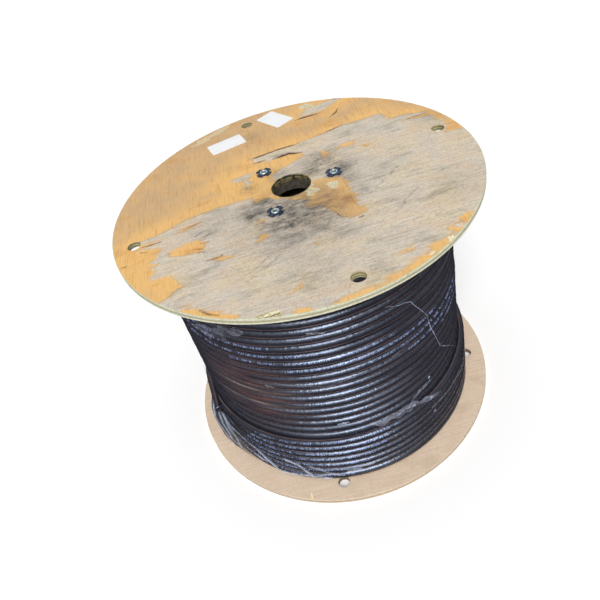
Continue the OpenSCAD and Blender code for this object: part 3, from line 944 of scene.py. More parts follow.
@dataclass
class UpperFlange:
    """The worn upper flange: a face of fine cells with its wear, a sawn edge and a plain far face."""

    node: str = "upper_flange"
    cell: float = 1.2 * MM
    edge_wear: float = 0.6 * MM
    hole_wear: float = 0.15 * MM
    ply_recess: float = 0.15 * MM
    plies: int = 5
    veneer: float = 0.5 * MM
    seat_radius: float = 8.5 * MM
    seat_depth: float = 0.56 * MM
    chip_azimuth: float = -105.6
    chip_share: float = 0.98
    chip_depth: float = 2.4 * MM
    chip_reach: float = 15 * MM
    chip_cuts: int = 2
    wide_hole: float = 15 * MM
    least_drop: float = 0.02 * MM

    WEAR_AND_SHADE = ("veneer", "stain", "rust", "split_and_shade", "fresh", "hollow", "weather")

    def __post_init__(self) -> None:
        """Takes the flange's sizes from the frame."""
        low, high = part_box(self.node)
        self.low_z: float = low[2]
        self.high_z: float = high[2]
        self.thickness: float = high[2] - low[2]
        self.radius: float = (high[0] - low[0]) / 2
        self.rings: list[Ring] = [Ring(0, 0, self.radius, True)]
        for mount in MOUNTS.values():
            if mount["kind"] == "bore":
                x, y, _ = mount["pos_m"]
                self.rings.append(Ring(x, y, mount["dims"]["r_mm"] * MM, False))

    def is_wood(self, place: Vector) -> bool:
        """Whether there is wood at a place, in plan."""
        return all(
            (math.hypot(place.x - ring.x, place.y - ring.y) < ring.radius) == ring.is_rim
            for ring in self.rings
        )

    def nearest_ring(self, place: Vector) -> Ring:
        """The rim or hole nearest to a place."""
        return min(self.rings, key=lambda ring: ring.reach(place))

    def face_cells(self) -> bmesh.types.BMesh:
        """Makes the upper face as a grid of cells that ends on the rim and the holes."""
        bm = bmesh.new()
        count = round(2 * self.radius / self.cell)
        bmesh.ops.create_grid(bm, x_segments=count, y_segments=count, size=self.radius)
        gone = [face for face in bm.faces if not self.is_wood(face.calc_center_median())]
        bmesh.ops.delete(bm, geom=gone, context="FACES")
        turn, away = math.radians(self.chip_azimuth), self.chip_share * self.radius
        chip = Vector((away * math.cos(turn), away * math.sin(turn), 0))
        near = {vert for vert in bm.verts if (vert.co - chip).length < self.chip_reach}
        fine = [edge for edge in bm.edges if near.issuperset(edge.verts)]
        bmesh.ops.subdivide_edges(bm, edges=fine, cuts=self.chip_cuts, use_grid_fill=True)
        for vert in bm.verts:
            if vert.is_boundary:
                ring = self.nearest_ring(vert.co)
                small = not ring.is_rim and ring.radius < self.wide_hole
                vert.co.xy = ring.at(vert.co, self.hole_wear if small else self.edge_wear)
            vert.co.z = self.high_z
        return bm

    def wear(self, x: np.ndarray, y: np.ndarray) -> dict[str, np.ndarray]:
        """Works out the wear of the upper face.

        Args:
            x: places across, as shares of the radius.
            y: places away, as shares of the radius.

        Returns:
            Height above the face in metres, and the share of each kind of wear and of the painted shade in
            the splits and the rim chip. The veneer's is its distance in millimetres from the edge that it
            has peeled back to.
        """
        # The same places in millimetres, which the cells of the noises are given in
        mm = self.radius / MM
        u, v = x * mm, y * mm
        torn_x = x + (4.0 * value_noise(u / 60, v / 2.4, 1) + 2.0 * value_noise(u / 14, v / 5, 2)) / mm
        torn_y = y + 1.0 * value_noise(u / 9, v / 9, 3) / mm
        bare = inside_distance(torn_x, torn_y, BARE_PLY)
        for window in BARE_WINDOWS:
            bare = np.maximum(bare, inside_distance(torn_x, torn_y, window))
        for island in VENEER_ISLANDS:
            bare = np.minimum(bare, -inside_distance(torn_x, torn_y, island))
        worn = {"veneer": -bare * mm / (1 + spots(x, y, FRAYED))}
        # The splits are cut as narrow grooves, and the same mask gives their dark colour, painted shade in
        # the cracks
        worn["split_and_shade"] = np.zeros(x.shape)
        for line, width in SPLITS:
            near = line_distance(x, torn_y, line) * mm
            ends = [np.hypot(x - end[0], y - end[1]) * mm for end in (line[0], line[-1])]
            half = width / 2 * np.clip(np.minimum(*ends) / 9, 0.35, 1)
            worn["split_and_shade"] = np.maximum(worn["split_and_shade"], 1 - smooth_step(near, half - 0.3, half + 0.6))
        worn["hollow"] = np.zeros(x.shape)
        worn["fresh"] = np.zeros(x.shape)
        for chip, tone, cover in FRESH_CHIPS:
            share = smooth_step(inside_distance(torn_x, torn_y, chip) * mm, -0.6, 0.8)
            worn["fresh"] = np.maximum(worn["fresh"], share * cover)
            worn["hollow"] = np.maximum(worn["hollow"], share * tone)
        wander = 0.9 + 0.4 * value_noise(u / 9, v / 5, 4) + 0.35 * value_noise(u / 3.5, v / 2.4, 5)
        worn["stain"] = np.clip(spots(x, y, STAINS) * wander, 0, 1)
        for line in SCRATCHES:
            near = line_distance(torn_x, torn_y, line) * mm
            worn["stain"] = np.maximum(worn["stain"], 0.4 * (1 - smooth_step(near, 0.3, 1.4)))
        worn["rust"] = np.clip(spots(x, y, RUST_STAINS) * wander, 0, 1)
        broad = 0.3 * value_noise(u / 45, v / 60, 6) + 0.2 * value_noise(u / 13, v / 19, 7)
        broad += 0.15 * value_noise(u / 5, v / 8, 10) - spots(x, y, WARM_PLY)
        worn["weather"] = np.clip(0.2 + 0.6 * smooth_step(bare * mm, 3, 30) + broad, 0, 1)

        height = self.veneer * (smooth_step(worn["veneer"], -1.2, 1.2) - 1)
        height += 0.05 * MM * value_noise(u / 8, v / 2.4, 8)
        height -= (0.9 * worn["split_and_shade"] + 0.25 * worn["fresh"]) * MM
        self.break_rim(x, y, worn, height)
        worn["height"] = np.minimum(height, self.seats(x * self.radius, y * self.radius))
        return worn

    def break_rim(
        self, x: np.ndarray, y: np.ndarray, worn: dict[str, np.ndarray], height: np.ndarray
    ) -> None:
        """Breaks the chip from the front of the rim.

        Args:
            x: places across, as shares of the radius.
            y: places away, as shares of the radius.
            worn: shares of wear, to which the chip and its painted shade are added.
            height: relief, from which the chip is cut.
        """
        turn = math.radians(self.chip_azimuth)
        out = x * math.cos(turn) + y * math.sin(turn)
        across = -x * math.sin(turn) + y * math.cos(turn)
        ragged = 0.004 * value_noise(across * 60, out * 25, 9)
        inside = inside_distance(out + ragged, across, RIM_CHIP) * self.radius / MM
        share = smooth_step(inside, -0.4, 0.4)
        # A pale splinter along the torn side, with painted shade: a dark line at the torn edge, a dark line
        # under the splinter and a shaded olive hollow beyond
        tear = CHIP_TEAR[0] + CHIP_SLANT * (CHIP_TEAR[1] - across)
        below = (out + ragged - tear) * self.radius / MM
        crack_shadow = smooth_step(below, 3.0, 3.6) * (1 - smooth_step(below, 4.4, 5.2))
        hollow = smooth_step(below, 3.0, 3.6) * (1 - smooth_step(out, 0.985, 0.997))
        shade = np.maximum(1 - smooth_step(below, 0.3, 1.1), np.maximum(crack_shadow, 0.45 * hollow))
        depth = 0.25 * MM + 0.5 * self.chip_depth * hollow
        worn["fresh"] = np.maximum(worn["fresh"], share)
        worn["hollow"] = np.maximum(worn["hollow"], share * shade)
        np.minimum(height, np.where(share > 0.01, -share * depth, height), out=height)

    def seats(self, x: np.ndarray, y: np.ndarray) -> np.ndarray:
        """Highest relief that leaves room for the plates of the tee nuts."""
        limit = np.full(x.shape, 1.0)
        for number in (1, 2, 3):
            low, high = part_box(f"tee_nut_{number}")
            away = np.hypot(x - (low[0] + high[0]) / 2, y - (low[1] + high[1]) / 2)
            limit = np.where(away < self.seat_radius, -self.seat_depth, limit)
        return limit

    def shape_face(self, bm: bmesh.types.BMesh) -> None:
        """Wears the upper face and notes the wear, and the painted shade of the splits and the rim chip, in
        attributes for the material.
        """
        layers = {name: bm.verts.layers.float.new(name) for name in self.WEAR_AND_SHADE}
        verts = list(bm.verts)
        place = np.array([vert.co for vert in verts]) / self.radius
        worn = self.wear(place[:, 0], place[:, 1])
        for i, vert in enumerate(verts):
            vert.co.z = self.high_z + worn["height"][i]
            for name, layer in layers.items():
                vert[layer] = worn[name][i]

    def edge_levels(self) -> list[tuple[float, float]]:
        """Inset and height of each ring of the sawn edge, from the top down."""
        levels = [(0.0, self.high_z - self.edge_wear)]
        for i in range(1, self.plies):
            levels.append((self.ply_recess * (i % 2), self.high_z - i * self.thickness / self.plies))
        return [*levels, (0.0, self.low_z + self.edge_wear), (self.edge_wear, self.low_z)]

    def close(self, bm: bmesh.types.BMesh) -> None:
        """Adds the sawn edges and the lower face to the upper one."""
        edges = [edge for edge in bm.edges if edge.is_boundary]
        for inset, level in self.edge_levels():
            made = bmesh.ops.extrude_edge_only(bm, edges=edges)["geom"]
            edges = [item for item in made if isinstance(item, bmesh.types.BMEdge)]
            finish: dict[bmesh.types.BMVert, UpperFinish] = {}
            for vert in (item for item in made if isinstance(item, bmesh.types.BMVert)):
                ring = self.nearest_ring(vert.co)
                vert.co.xy = ring.at(vert.co, inset)
                vert.co.z = min(level, vert.co.z - self.least_drop)
                hole = UpperFinish.ARBOR if ring.radius > self.wide_hole else UpperFinish.HOLE
                finish[vert] = UpperFinish.RIM if ring.is_rim else hole
            for face in (item for item in made if isinstance(item, bmesh.types.BMFace)):
                face.material_index = next(finish[vert] for vert in face.verts if vert in finish)
        for vert in {vert for edge in edges for vert in edge.verts}:
            vert.co.z = self.low_z
        filled = bmesh.ops.triangle_fill(bm, edges=edges, use_beauty=True)["geom"]
        for face in (item for item in filled if isinstance(item, bmesh.types.BMFace)):
            face.material_index = UpperFinish.FAR_FACE
        bmesh.ops.recalc_face_normals(bm, faces=bm.faces[:])

    def build(self, far_face: bpy.types.Material) -> bpy.types.Object:
        """Builds the flange in place of its node.

        Args:
            far_face: finish of its lower face.

        Returns:
            The flange.
        """
        bm = self.face_cells()
        self.shape_face(bm)
        self.close(bm)
        # The arbor's and the holes' bores are darker copies of the rim's sawn edge: their darker plies are
        # painted shade, and the arbor's heavy near-black mottle is dirt and painted shade together
        arbor = PlywoodEdge(
            name="arbor_bore_dirt_and_painted_shade",
            long_ply="#9A8C58",
            end_ply="#4E4527",
            dirt="#16130B",
            soiled=0.95,
            plies=self.plies,
            dirty_from=0.44,
            dirty_to=0.58,
            patch=5 * MM,
        )
        hole = PlywoodEdge(
            name="sawn_hole_bore_painted_shade",
            long_ply="#BDB58A",
            end_ply="#8B8158",
            dirt="#4A442C",
            soiled=0.6,
            plies=self.plies,
        )
        # In the order of UpperFinish
        materials = [
            PeeledPlywood().material(),
            PlywoodEdge().material(self.low_z, self.thickness),
            far_face,
            arbor.material(self.low_z, self.thickness),
            hole.material(self.low_z, self.thickness),
        ]
        return enrol(mesh_object("upper_flange_worn", bm, materials, sharp=40), Slot.PLYWOOD, self.node)


@dataclass
class LowerFlange:
    """The cleaner lower flange, which keeps its CAD shape."""

    node: str = "lower_flange"
    rim_share: float = 0.98
    least_upright: float = 0.9

    def build(self, face: bpy.types.Material) -> bpy.types.Object:
        """Builds the flange in place of its node, with its own finish on faces, rim and hole walls."""
        low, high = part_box(self.node)
        bm = node_mesh(self.node)
        rim = self.rim_share * high[0]
        for polygon in bm.faces:
            outside = polygon.calc_center_median().xy.length > rim
            wall = LowerFinish.RIM if outside else LowerFinish.HOLE
            is_face = abs(polygon.normal.z) > self.least_upright
            polygon.material_index = LowerFinish.FACE if is_face else wall
        edge = PlywoodEdge("sawn_lower_edge", "#D8C6AE", "#B59E84", "#83705C", soiled=0.5)
        # The hole walls are a darker copy of the sawn edge: painted shade
        hole = PlywoodEdge("sawn_lower_bore_painted_shade", "#A08D74", "#7A6851", "#3F3426", soiled=0.6)
        # In the order of LowerFinish
        materials = [face, *(finish.material(low[2], high[2] - low[2]) for finish in (edge, hole))]
        return enrol(mesh_object("lower_flange_plain", bm, materials, sharp=30), Slot.PLYWOOD, self.node)


@dataclass
class Winding:
    """The wound cable: a full layer of turns, and a last layer of a few turns at the bottom."""

    cable: float = 10 * MM
    pitch: float = 10.1 * MM
    over_rise: float = 7.2 * MM
    over_turns: int = 7
    sides: int = 14
    steps: int = 110
    climb: float = 0.16
    sway: float = 0.35 * MM
    lead: float = 0.25
    settle: float = 0.2
    nesting: float = 0.87
    full_start: float = 90
    full_print: float = 0.102
    over_start: float = -172
    over_print: float = 0.911
    tail: float = 0.045
    tail_lift: float = 7 * MM
    tail_rise: float = 2 * MM
    cap_dome: float = 1.0 * MM
    bore_gap: float = 0.2 * MM
    groove: float = 4.2 * MM
    core_foot: float = 1 * MM
    core_top: float = 5 * MM
    slope_below: float = 4 * MM
    slope_above: float = 24 * MM
    weld: float = 0.001 * MM

    def __post_init__(self) -> None:
        """Takes the winding's place from the frame."""
        low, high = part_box("cable_coil")
        barrel_low, barrel_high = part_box("barrel")
        self.low_z: float = low[2]
        self.high_z: float = high[2]
        self.over_r: float = (high[0] - low[0]) / 2 - self.cable / 2
        self.full_r: float = self.over_r - self.over_rise
        self.bore_r: float = (barrel_high[0] - barrel_low[0]) / 2 + self.bore_gap
        self.full_turns: int = round((self.high_z - self.low_z) / self.pitch - 0.5)
        self.step_z: float = self.low_z + self.over_turns * self.pitch

    def crest(self, z: np.ndarray) -> np.ndarray:
        """Outer radius of the winding at a height, sloping in above its last layer."""
        slope = smooth_step(z, self.step_z - self.slope_below, self.step_z + self.slope_above)
        return self.over_r + self.cable / 2 - self.over_rise * slope

    def level(self, turns: np.ndarray, most: int) -> np.ndarray:
        """Height gained after some turns: level, then up one pitch at the end of each turn but the last."""
        whole = np.floor(turns)
        gained = whole + smooth_step(turns - whole, 1 - self.climb, 1.0)
        return self.pitch * np.clip(gained, 0, most - 1)

    def core(self, bm: bmesh.types.BMesh) -> None:
        """Adds the dark body that stands for the turns inside."""
        inner, outer = self.bore_r, self.full_r + self.cable / 2 - self.groove
        over = self.over_r + self.cable / 2 - self.groove
        foot, top = self.low_z + self.core_foot, self.high_z - self.core_top
        step = self.step_z - self.groove
        corners = ((inner, foot), (over, foot), (over, step), (outer, step), (outer, top), (inner, top))
        verts = [bm.verts.new((r, 0, z)) for r, z in corners]
        edges = [bm.edges.new(pair) for pair in zip(verts, [*verts[1:], verts[0]])]
        bmesh.ops.spin(
            bm,
            geom=[*verts, *edges],
            axis=(0, 0, 1),
            cent=(0, 0, 0),
            angle=math.tau,
            steps=self.steps,
            use_merge=True,
        )

    def layer(
        self,
        radius: float,
        start_z: float,
        turns: int,
        rise: int,
        start: float,
        sunk: float,
        tail: float,
        print_from: float,
    ) -> bmesh.types.BMesh:
        """Winds a layer of cable from a long strip of cells.

        Args:
            radius: radius of the middle of the cable.
            start_z: height of the middle of the first turn.
            turns: number of turns, to which the lead-in is added.
            rise: 1 for turns that go up, and -1 for turns that go down.
            start: direction in which the first turn begins, in degrees.
            sunk: depth below the layer that its first turn comes from.
            tail: share of a turn that its end runs on, lifted over its own start.
            print_from: running metres at the start of the first turn.

        Returns:
            The layer, with running metres and the share round the cable as its UV map.
        """
        bm = bmesh.new()
        length = turns + self.lead + tail
        count = round(self.steps * length)
        bmesh.ops.create_grid(bm, x_segments=count, y_segments=self.sides, size=1.0)
        uv = bm.loops.layers.uv.new("running_metres")
        bm.verts.index_update()
        verts = list(bm.verts)
        place = np.array([vert.co for vert in verts])
        run = (place[:, 0] + 1) / 2 * length - self.lead
        around = (place[:, 1] + 1) / 2
        sway = self.sway * (value_noise(run * 5, 0, turns) + 0.6 * value_noise(run * 17, 0, turns + 1))
        drop = self.sway * 0.8 * value_noise(run * 4, 0, turns + 2)
        middle = radius + sway - sunk * (1 - smooth_step(run, -self.settle, 0.0))
        level = start_z + rise * self.level(run, turns) + drop
        if tail:
            loose = np.clip((run - turns) / tail, 0, 1) ** 2
            middle = middle + self.tail_lift * loose
            level = level + self.tail_rise * loose
        reach = middle - np.cos(around * math.tau) * self.cable / 2
        level = level - np.sin(around * math.tau) * self.cable / 2
        level = np.clip(level, self.low_z, self.high_z)
        turn = run * math.tau + math.radians(start)
        for face in bm.faces:
            for loop in face.loops:
                i = loop.vert.index
                loop[uv].uv = (print_from + run[i] * math.tau * radius, around[i])
        for i, vert in enumerate(verts):
            vert.co = (reach[i] * math.cos(turn[i]), reach[i] * math.sin(turn[i]), level[i])
        bmesh.ops.remove_doubles(bm, verts=bm.verts[:], dist=self.weld)
        self.cap_ends(bm)
        return bm

    def cap_ends(self, bm: bmesh.types.BMesh) -> None:
        """Closes both ends of a layer with a low black cap."""
        edges = [edge for edge in bm.edges if edge.is_boundary]
        caps = bmesh.ops.holes_fill(bm, edges=edges, sides=self.sides)["faces"]
        bmesh.ops.recalc_face_normals(bm, faces=bm.faces[:])
        for cap in caps:
            outward = cap.normal * self.cap_dome
            bmesh.ops.inset_individual(bm, faces=[cap], thickness=self.cap_dome, use_even_offset=True)
            bmesh.ops.translate(bm, verts=cap.verts[:], vec=outward)

    def build(self) -> bpy.types.Object:
        """Builds the winding in place of the coil's node."""
        low = self.low_z + self.cable / 2
        top = low + self.pitch / 2 + (self.full_turns - 1) * self.pitch
        whole = bmesh.new()
        self.core(whole)
        full = self.layer(
            radius=self.full_r,
            start_z=top,
            turns=self.full_turns,
            rise=-1,
            start=self.full_start,
            sunk=self.nesting * self.cable,
            tail=0.0,
            print_from=self.full_print,
        )
        over = self.layer(
            radius=self.over_r,
            start_z=low,
            turns=self.over_turns,
            rise=1,
            start=self.over_start,
            sunk=self.over_rise,
            tail=self.tail,
            print_from=self.over_print,
        )
        take_in(whole, full)
        take_in(whole, over)
        bmesh.ops.recalc_face_normals(whole, faces=whole.faces[:])
        materials = [PolyethyleneJacket().material()]
        return enrol(mesh_object("wound_cable", whole, materials, sharp=50), Slot.JACKET, "cable_coil")


def degrees_from(azimuth: np.ndarray, middle: float) -> np.ndarray:
    """Turn from one direction to others, in degrees from -180 to 180."""
    return (azimuth - middle + 180) % 360 - 180


# Creases of the film, each also a painted highlight, and its shreds run through points of direction in
# degrees and height in millimetres
CREASES_AND_HIGHLIGHTS: Sequence[tuple[Outline, float]] = (
    (((-167, 60), (-163, 46), (-159, 28), (-155, 8)), 0.9),
    (((-164, 68), (-160, 54), (-156, 40), (-154, 24)), 0.8),
    (((-170, 44), (-166, 30), (-163, 20)), 0.6),
    (((-160, 71), (-155, 57), (-151, 49), (-150, 33), (-149, 14)), 1.0),
    (((-156, 66), (-152, 54), (-144.5, 50), (-138.5, 41), (-134.5, 28), (-131.5, 21), (-129, 12)), 1.0),
    (((-153, 46), (-147, 37), (-142, 27)), 0.6),
    (((-155, 23), (-150, 17), (-144, 13)), 0.8),
    (((-148, 33), (-141, 28), (-136, 22)), 0.8),
    (((-157, 62), (-154, 48), (-151, 36)), 0.9),
    (((-124, 40), (-119, 33), (-115.5, 22), (-113, 15)), 1.0),
    (((-114, 38), (-110.5, 32), (-107.5, 22), (-102, 16)), 0.6),
    (((-104, 30), (-100, 27), (-95, 25)), 0.5),
    (((-99.6, 21.6), (-97.2, 21.9), (-94.4, 21.9)), 0.9),
    (((-93.7, 28.2), (-91.7, 28.3), (-89.3, 27.9)), 0.7),
    (((-112.7, 15.7), (-109.7, 18.4), (-106.7, 20.5)), 0.8),
    (((-130, 11), (-121, 13), (-115.5, 15.5), (-107, 12)), 0.9),
    (((-156, 74), (-150, 73), (-146, 67), (-140, 58)), 0.6),
    (((-60, 66), (-40, 58), (-20, 50)), 0.3),
    (((20, 60), (60, 44), (95, 22), (120, 12)), 0.4),
    (((100, 70), (112, 61), (121, 46), (133, 41), (150, 20)), 0.4),
)
SHREDS: Sequence[tuple[Outline, float, float]] = (
    (((-87, 91), (-82, 87), (-75, 88), (-69, 88), (-61, 82), (-55, 77)), 6.5 * MM, 0.5),
    (((-72, 85), (-68, 92), (-64, 96), (-60, 97), (-57, 98)), 3.2 * MM, 0.42),
    (((-146, 220), (-138, 222), (-130, 229), (-121, 236)), 15 * MM, 0.34),
    (((-73, 230), (-66, 222), (-63, 218), (-59, 201), (-56, 187), (-54.5, 168), (-53, 157), (-51, 140),
      (-49, 128), (-41, 106), (-35, 87)), 0.75 * MM, 1.0),
    (((-118, 168), (-98, 160), (-80, 164), (-66, 172)), 2.2 * MM, 0.3),
    (((-113, 107), (-110.5, 107)), 1.6 * MM, 0.8),
    (((-108, 107), (-106, 107)), 2.2 * MM, 1.0),
    (((-98.5, 99), (-94, 99.5)), 2.6 * MM, 1.0),
    (((-121, 163), (-117.5, 161)), 1.4 * MM, 0.6),
    (((-100, 231), (-94, 228.5)), 2.4 * MM, 0.7),
    (((-75.8, 87.5), (-74.4, 86.6)), 2.0 * MM, 1.2),
    (((-69, 86.8), (-67.7, 86)), 2.1 * MM, 1.2),
    (((-61, 81.6), (-59.7, 80.8)), 1.9 * MM, 1.2),
    (((-58.6, 102.5), (-57.4, 102.5)), 1.8 * MM, 1.2),
    (((-60.2, 57.8), (-59, 57)), 1.7 * MM, 1.0),
)


@dataclass
class FilmWrap:
    """What is left of the clear film: a band round the foot of the winding, and shreds above it."""

    around: int = 720
    rows: int = 80
    stand_off: float = 0.7 * MM
    fold: float = 0.9 * MM
    bag: float = 8.5 * MM
    bag_at: float = -166
    bag_front: float = 13
    bag_back: float = 7
    bag_low: float = 28 * MM
    bag_tall: float = 52 * MM
    bag_shut: Point = (44 * MM, 64 * MM)
    gather_cover: float = 0.96
    gather_front: float = 1.5
    gather_back: float = 1.9
    gather_shut: Point = (68 * MM, 80 * MM)
    crease_half: float = 1.5
    highlight_flank_half: float = 4.5
    torn_share: float = 0.8
    torn_wave: float = 0.14
    torn_teeth: float = 0.05
    notch_at: float = -166
    notch_half: float = 11
    notch_fade: float = 6
    notch_share: float = 0.5
    shred_steps: int = 90
    shred_rows: int = 6
    shreds_flat: Point = (0.012, 0.175)

    def __post_init__(self) -> None:
        """Takes the band's place from the frame."""
        low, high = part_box("film_wrap")
        self.low_z: float = low[2]
        self.high_z: float = high[2]
        self.radius: float = (high[0] - low[0]) / 2

    def band(self, winding: Winding) -> bmesh.types.BMesh:
        """Makes the band, creased where it was gathered and torn along its top."""
        bm = bmesh.new()
        crease_layer = bm.verts.layers.float.new("crease_and_highlight")
        gather_layer = bm.verts.layers.float.new("gather")
        bmesh.ops.create_grid(bm, x_segments=self.around, y_segments=self.rows, size=1.0)
        verts = list(bm.verts)
        place = np.array([vert.co for vert in verts])
        turn = place[:, 0] * math.pi
        torn = self.torn_share + self.torn_wave * value_noise(turn * 2.5, 0, 31)
        # The film is torn lower down where the end of the cable lifts out of it
        beside = np.abs(degrees_from(np.degrees(turn), self.notch_at)) - self.notch_half
        torn += (self.notch_share - torn) * (1 - smooth_step(beside, 0, self.notch_fade))
        torn += self.torn_teeth * value_noise(turn * 14, 0, 32)
        z = self.low_z + (self.high_z - self.low_z) * (place[:, 1] / 2 + 0.5) * torn
        length, tall = turn * self.radius / MM, z / MM
        to_mm = math.radians(1) * self.radius / MM
        crease_and_highlight = np.zeros(turn.shape)
        loose, gather = self.looseness(np.degrees(turn), z)
        bent = 2.2 * value_noise(length / 17, tall / 17, 35)
        # Each line folds the film out a little and marks a painted highlight along it, with a softer
        # painted glow to each side
        for line, strength in CREASES_AND_HIGHLIGHTS:
            away = line_distance(length + bent, tall + bent, [(a * to_mm, h) for a, h in line])
            highlight_flank = (0.25 + 0.3 * gather) * np.exp(-((away / self.highlight_flank_half) ** 2))
            ridge = np.exp(-((away / self.crease_half) ** 2)) + highlight_flank
            crease_and_highlight = np.maximum(crease_and_highlight, strength * np.minimum(ridge, 1))
        reach = winding.crest(z) + self.stand_off + self.fold * crease_and_highlight + self.bag * loose
        for i, vert in enumerate(verts):
            vert.co = (reach[i] * math.cos(turn[i]), reach[i] * math.sin(turn[i]), z[i])
            vert[crease_layer] = crease_and_highlight[i]
            vert[gather_layer] = gather[i]
        bmesh.ops.remove_doubles(bm, verts=bm.verts[:], dist=WELD)
        bmesh.ops.recalc_face_normals(bm, faces=bm.faces[:])
        return bm

    def looseness(self, azimuth: np.ndarray, z: np.ndarray) -> tuple[np.ndarray, np.ndarray]:
        """How far the band bags out on its loose side, and how thickly it is gathered there.

        Args:
            azimuth: directions in degrees.
            z: heights.

        Returns:
            Shares of the bag's depth, and the cover of the gathered film.
        """
        away = degrees_from(azimuth, self.bag_at)
        in_front = away > 0
        above = np.clip((z - self.bag_low) / self.bag_tall, 0, 1)
        half = np.where(in_front, self.bag_front, self.bag_back)
        loose = np.exp(-((away / half) ** 2)) * (1 - above * above) * (1 - smooth_step(z, *self.bag_shut))
        spread = away / (half * np.where(in_front, self.gather_front, self.gather_back))
        gather = self.gather_cover * np.exp(-np.where(in_front, spread**4, spread**2))
        return loose, gather * (1 - smooth_step(z, *self.gather_shut))

    def shred(self, winding: Winding, line: Outline, width: float, crease_and_highlight: float) -> bmesh.types.BMesh:
        """Makes a narrow crumpled shred that lies on the turns.

        Args:
            winding: what it lies on.
            line: points of direction in degrees and height in millimetres.
            width: its width.
            crease_and_highlight: how milky it is, and how strong the painted highlight along it.

        Returns:
            The shred.
        """
        bm = bmesh.new()
        crease_layer = bm.verts.layers.float.new("crease_and_highlight")
        bmesh.ops.create_grid(bm, x_segments=self.shred_steps, y_segments=self.shred_rows, size=1.0)
        verts = list(bm.verts)
        place = np.array([vert.co for vert in verts])
        share, side = (place[:, 0] + 1) / 2, place[:, 1]
        seed = width / MM
        knots = np.linspace(0, 1, len(line))
        lengths = [math.radians(a) * self.radius for a, _ in line]
        heights = [h * MM for _, h in line]
        ahead, behind = np.minimum(share + 0.02, 1), np.maximum(share - 0.02, 0)
        run = np.interp(ahead, knots, lengths) - np.interp(behind, knots, lengths)
        rise = np.interp(ahead, knots, heights) - np.interp(behind, knots, heights)
        slope = np.hypot(run, rise)
        half = width / 2 * (1 + 0.5 * value_noise(share * 13, side, seed))
        half *= side * np.sqrt(np.clip(4 * share * (1 - share), 0.08, 1))
        wander = 0.8 * MM * value_noise(share * 16, 0, seed + 1)
        turn = (np.interp(share, knots, lengths) - half * rise / slope) / self.radius
        z = np.interp(share, knots, heights) + wander + half * run / slope
        fold = value_noise(share * 12, side * 1.5, seed + 2)
        reach = winding.crest(z) + self.stand_off + (0.8 + 0.5 * fold) * MM
        for i, vert in enumerate(verts):
            vert.co = (reach[i] * math.cos(turn[i]), reach[i] * math.sin(turn[i]), z[i])
            vert[crease_layer] = crease_and_highlight * (0.75 + 0.25 * fold[i])
        bmesh.ops.recalc_face_normals(bm, faces=bm.faces[:])
        return bm

    def build(self, winding: Winding, wound: bpy.types.Object) -> list[bpy.types.Object]:
        """Builds the film over the winding.

        Args:
            winding: sizes of the winding.
            wound: the wound cable, which the film lies on; not used.

        Returns:
            The band and the shreds, which both stand for the film's node.
        """
        film = StretchFilm().material()
        band = mesh_object("film_band", self.band(winding), [film])
        whole = bmesh.new()
        whole.verts.layers.float.new("crease_and_highlight")
        for line, width, crease_and_highlight in SHREDS:
            take_in(whole, self.shred(winding, line, width, crease_and_highlight))
        shreds = mesh_object("film_shreds", whole, [film])
        tall = (self.high_z - self.low_z) * self.torn_share
        for piece, flat in ((band, (tall, math.tau * self.radius)), (shreds, self.shreds_flat)):
            enrol(piece, Slot.FILM, "film_wrap")
        return [band, shreds]


@dataclass
class Labels:
    """Two blank stickers with rounded corners on the upper flange."""

    drop: float = 0.42 * MM

    def build(self) -> list[bpy.types.Object]:
        """Builds both stickers in place of their nodes, on the bared ply."""
        paper = STICKER.material()
        pieces = []
        for number in (1, 2):
            bm = node_mesh(f"paper_label_{number}")
            bmesh.ops.translate(bm, verts=bm.verts[:], vec=(0, 0, -self.drop))
            piece = mesh_object(f"sticker_{number}", bm, [paper], sharp=30)
            pieces.append(enrol(piece, Slot.PAPER, f"paper_label_{number}"))
        return pieces


@dataclass
class Hardware:
    """Tie bolts of dull steel, and tee nuts whose plates have blued round bright sleeves."""

    lip_radius: float = 3.1 * MM
    lip_wire: float = 0.8 * MM
    lip_sides: int = 10
    lip_steps: int = 32

    def add_lip(self, bm: bmesh.types.BMesh, node: str) -> None:
        """Adds the rolled lip of a nut's sleeve, bright round the end of the bolt.

        Args:
            bm: mesh of the nut.
            node: the nut's node.
        """
        low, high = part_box(node)
        middle = Vector(((low[0] + high[0]) / 2, (low[1] + high[1]) / 2, high[2]))
        lip = bmesh.new()
        upright = Matrix.Rotation(math.pi / 2, 4, "X")
        place = Matrix.Translation(middle + Vector((self.lip_radius, 0, 0))) @ upright
        bmesh.ops.create_circle(lip, segments=self.lip_sides, radius=self.lip_wire, matrix=place)
        bmesh.ops.spin(
            lip,
            geom=[*lip.verts, *lip.edges],
            axis=(0, 0, 1),
            cent=middle,
            angle=math.tau,
            steps=self.lip_steps,
            use_merge=True,
        )
        bmesh.ops.recalc_face_normals(lip, faces=lip.faces[:])
        for face in lip.faces:
            face.material_index = NutFinish.LIP
        take_in(bm, lip)

    def build(self) -> list[bpy.types.Object]:
        """Builds the bolts and nuts in place of their nodes."""
        pieces = []
        blued, bright, dull = (finish.material() for finish in (BLUED_PLATE, BRIGHT_STEEL, DULL_STEEL))
        for kind, materials in (("tee_nut", [blued, bright]), ("tie_bolt", [dull])):
            for number in (1, 2, 3):
                node = f"{kind}_{number}"
                bm = node_mesh(node)
                if kind == "tee_nut":
                    self.add_lip(bm, node)
                piece = mesh_object(f"{kind}_plated_{number}", bm, materials, sharp=30)
                pieces.append(enrol(piece, Slot.ZINC_STEEL, node))
        return pieces


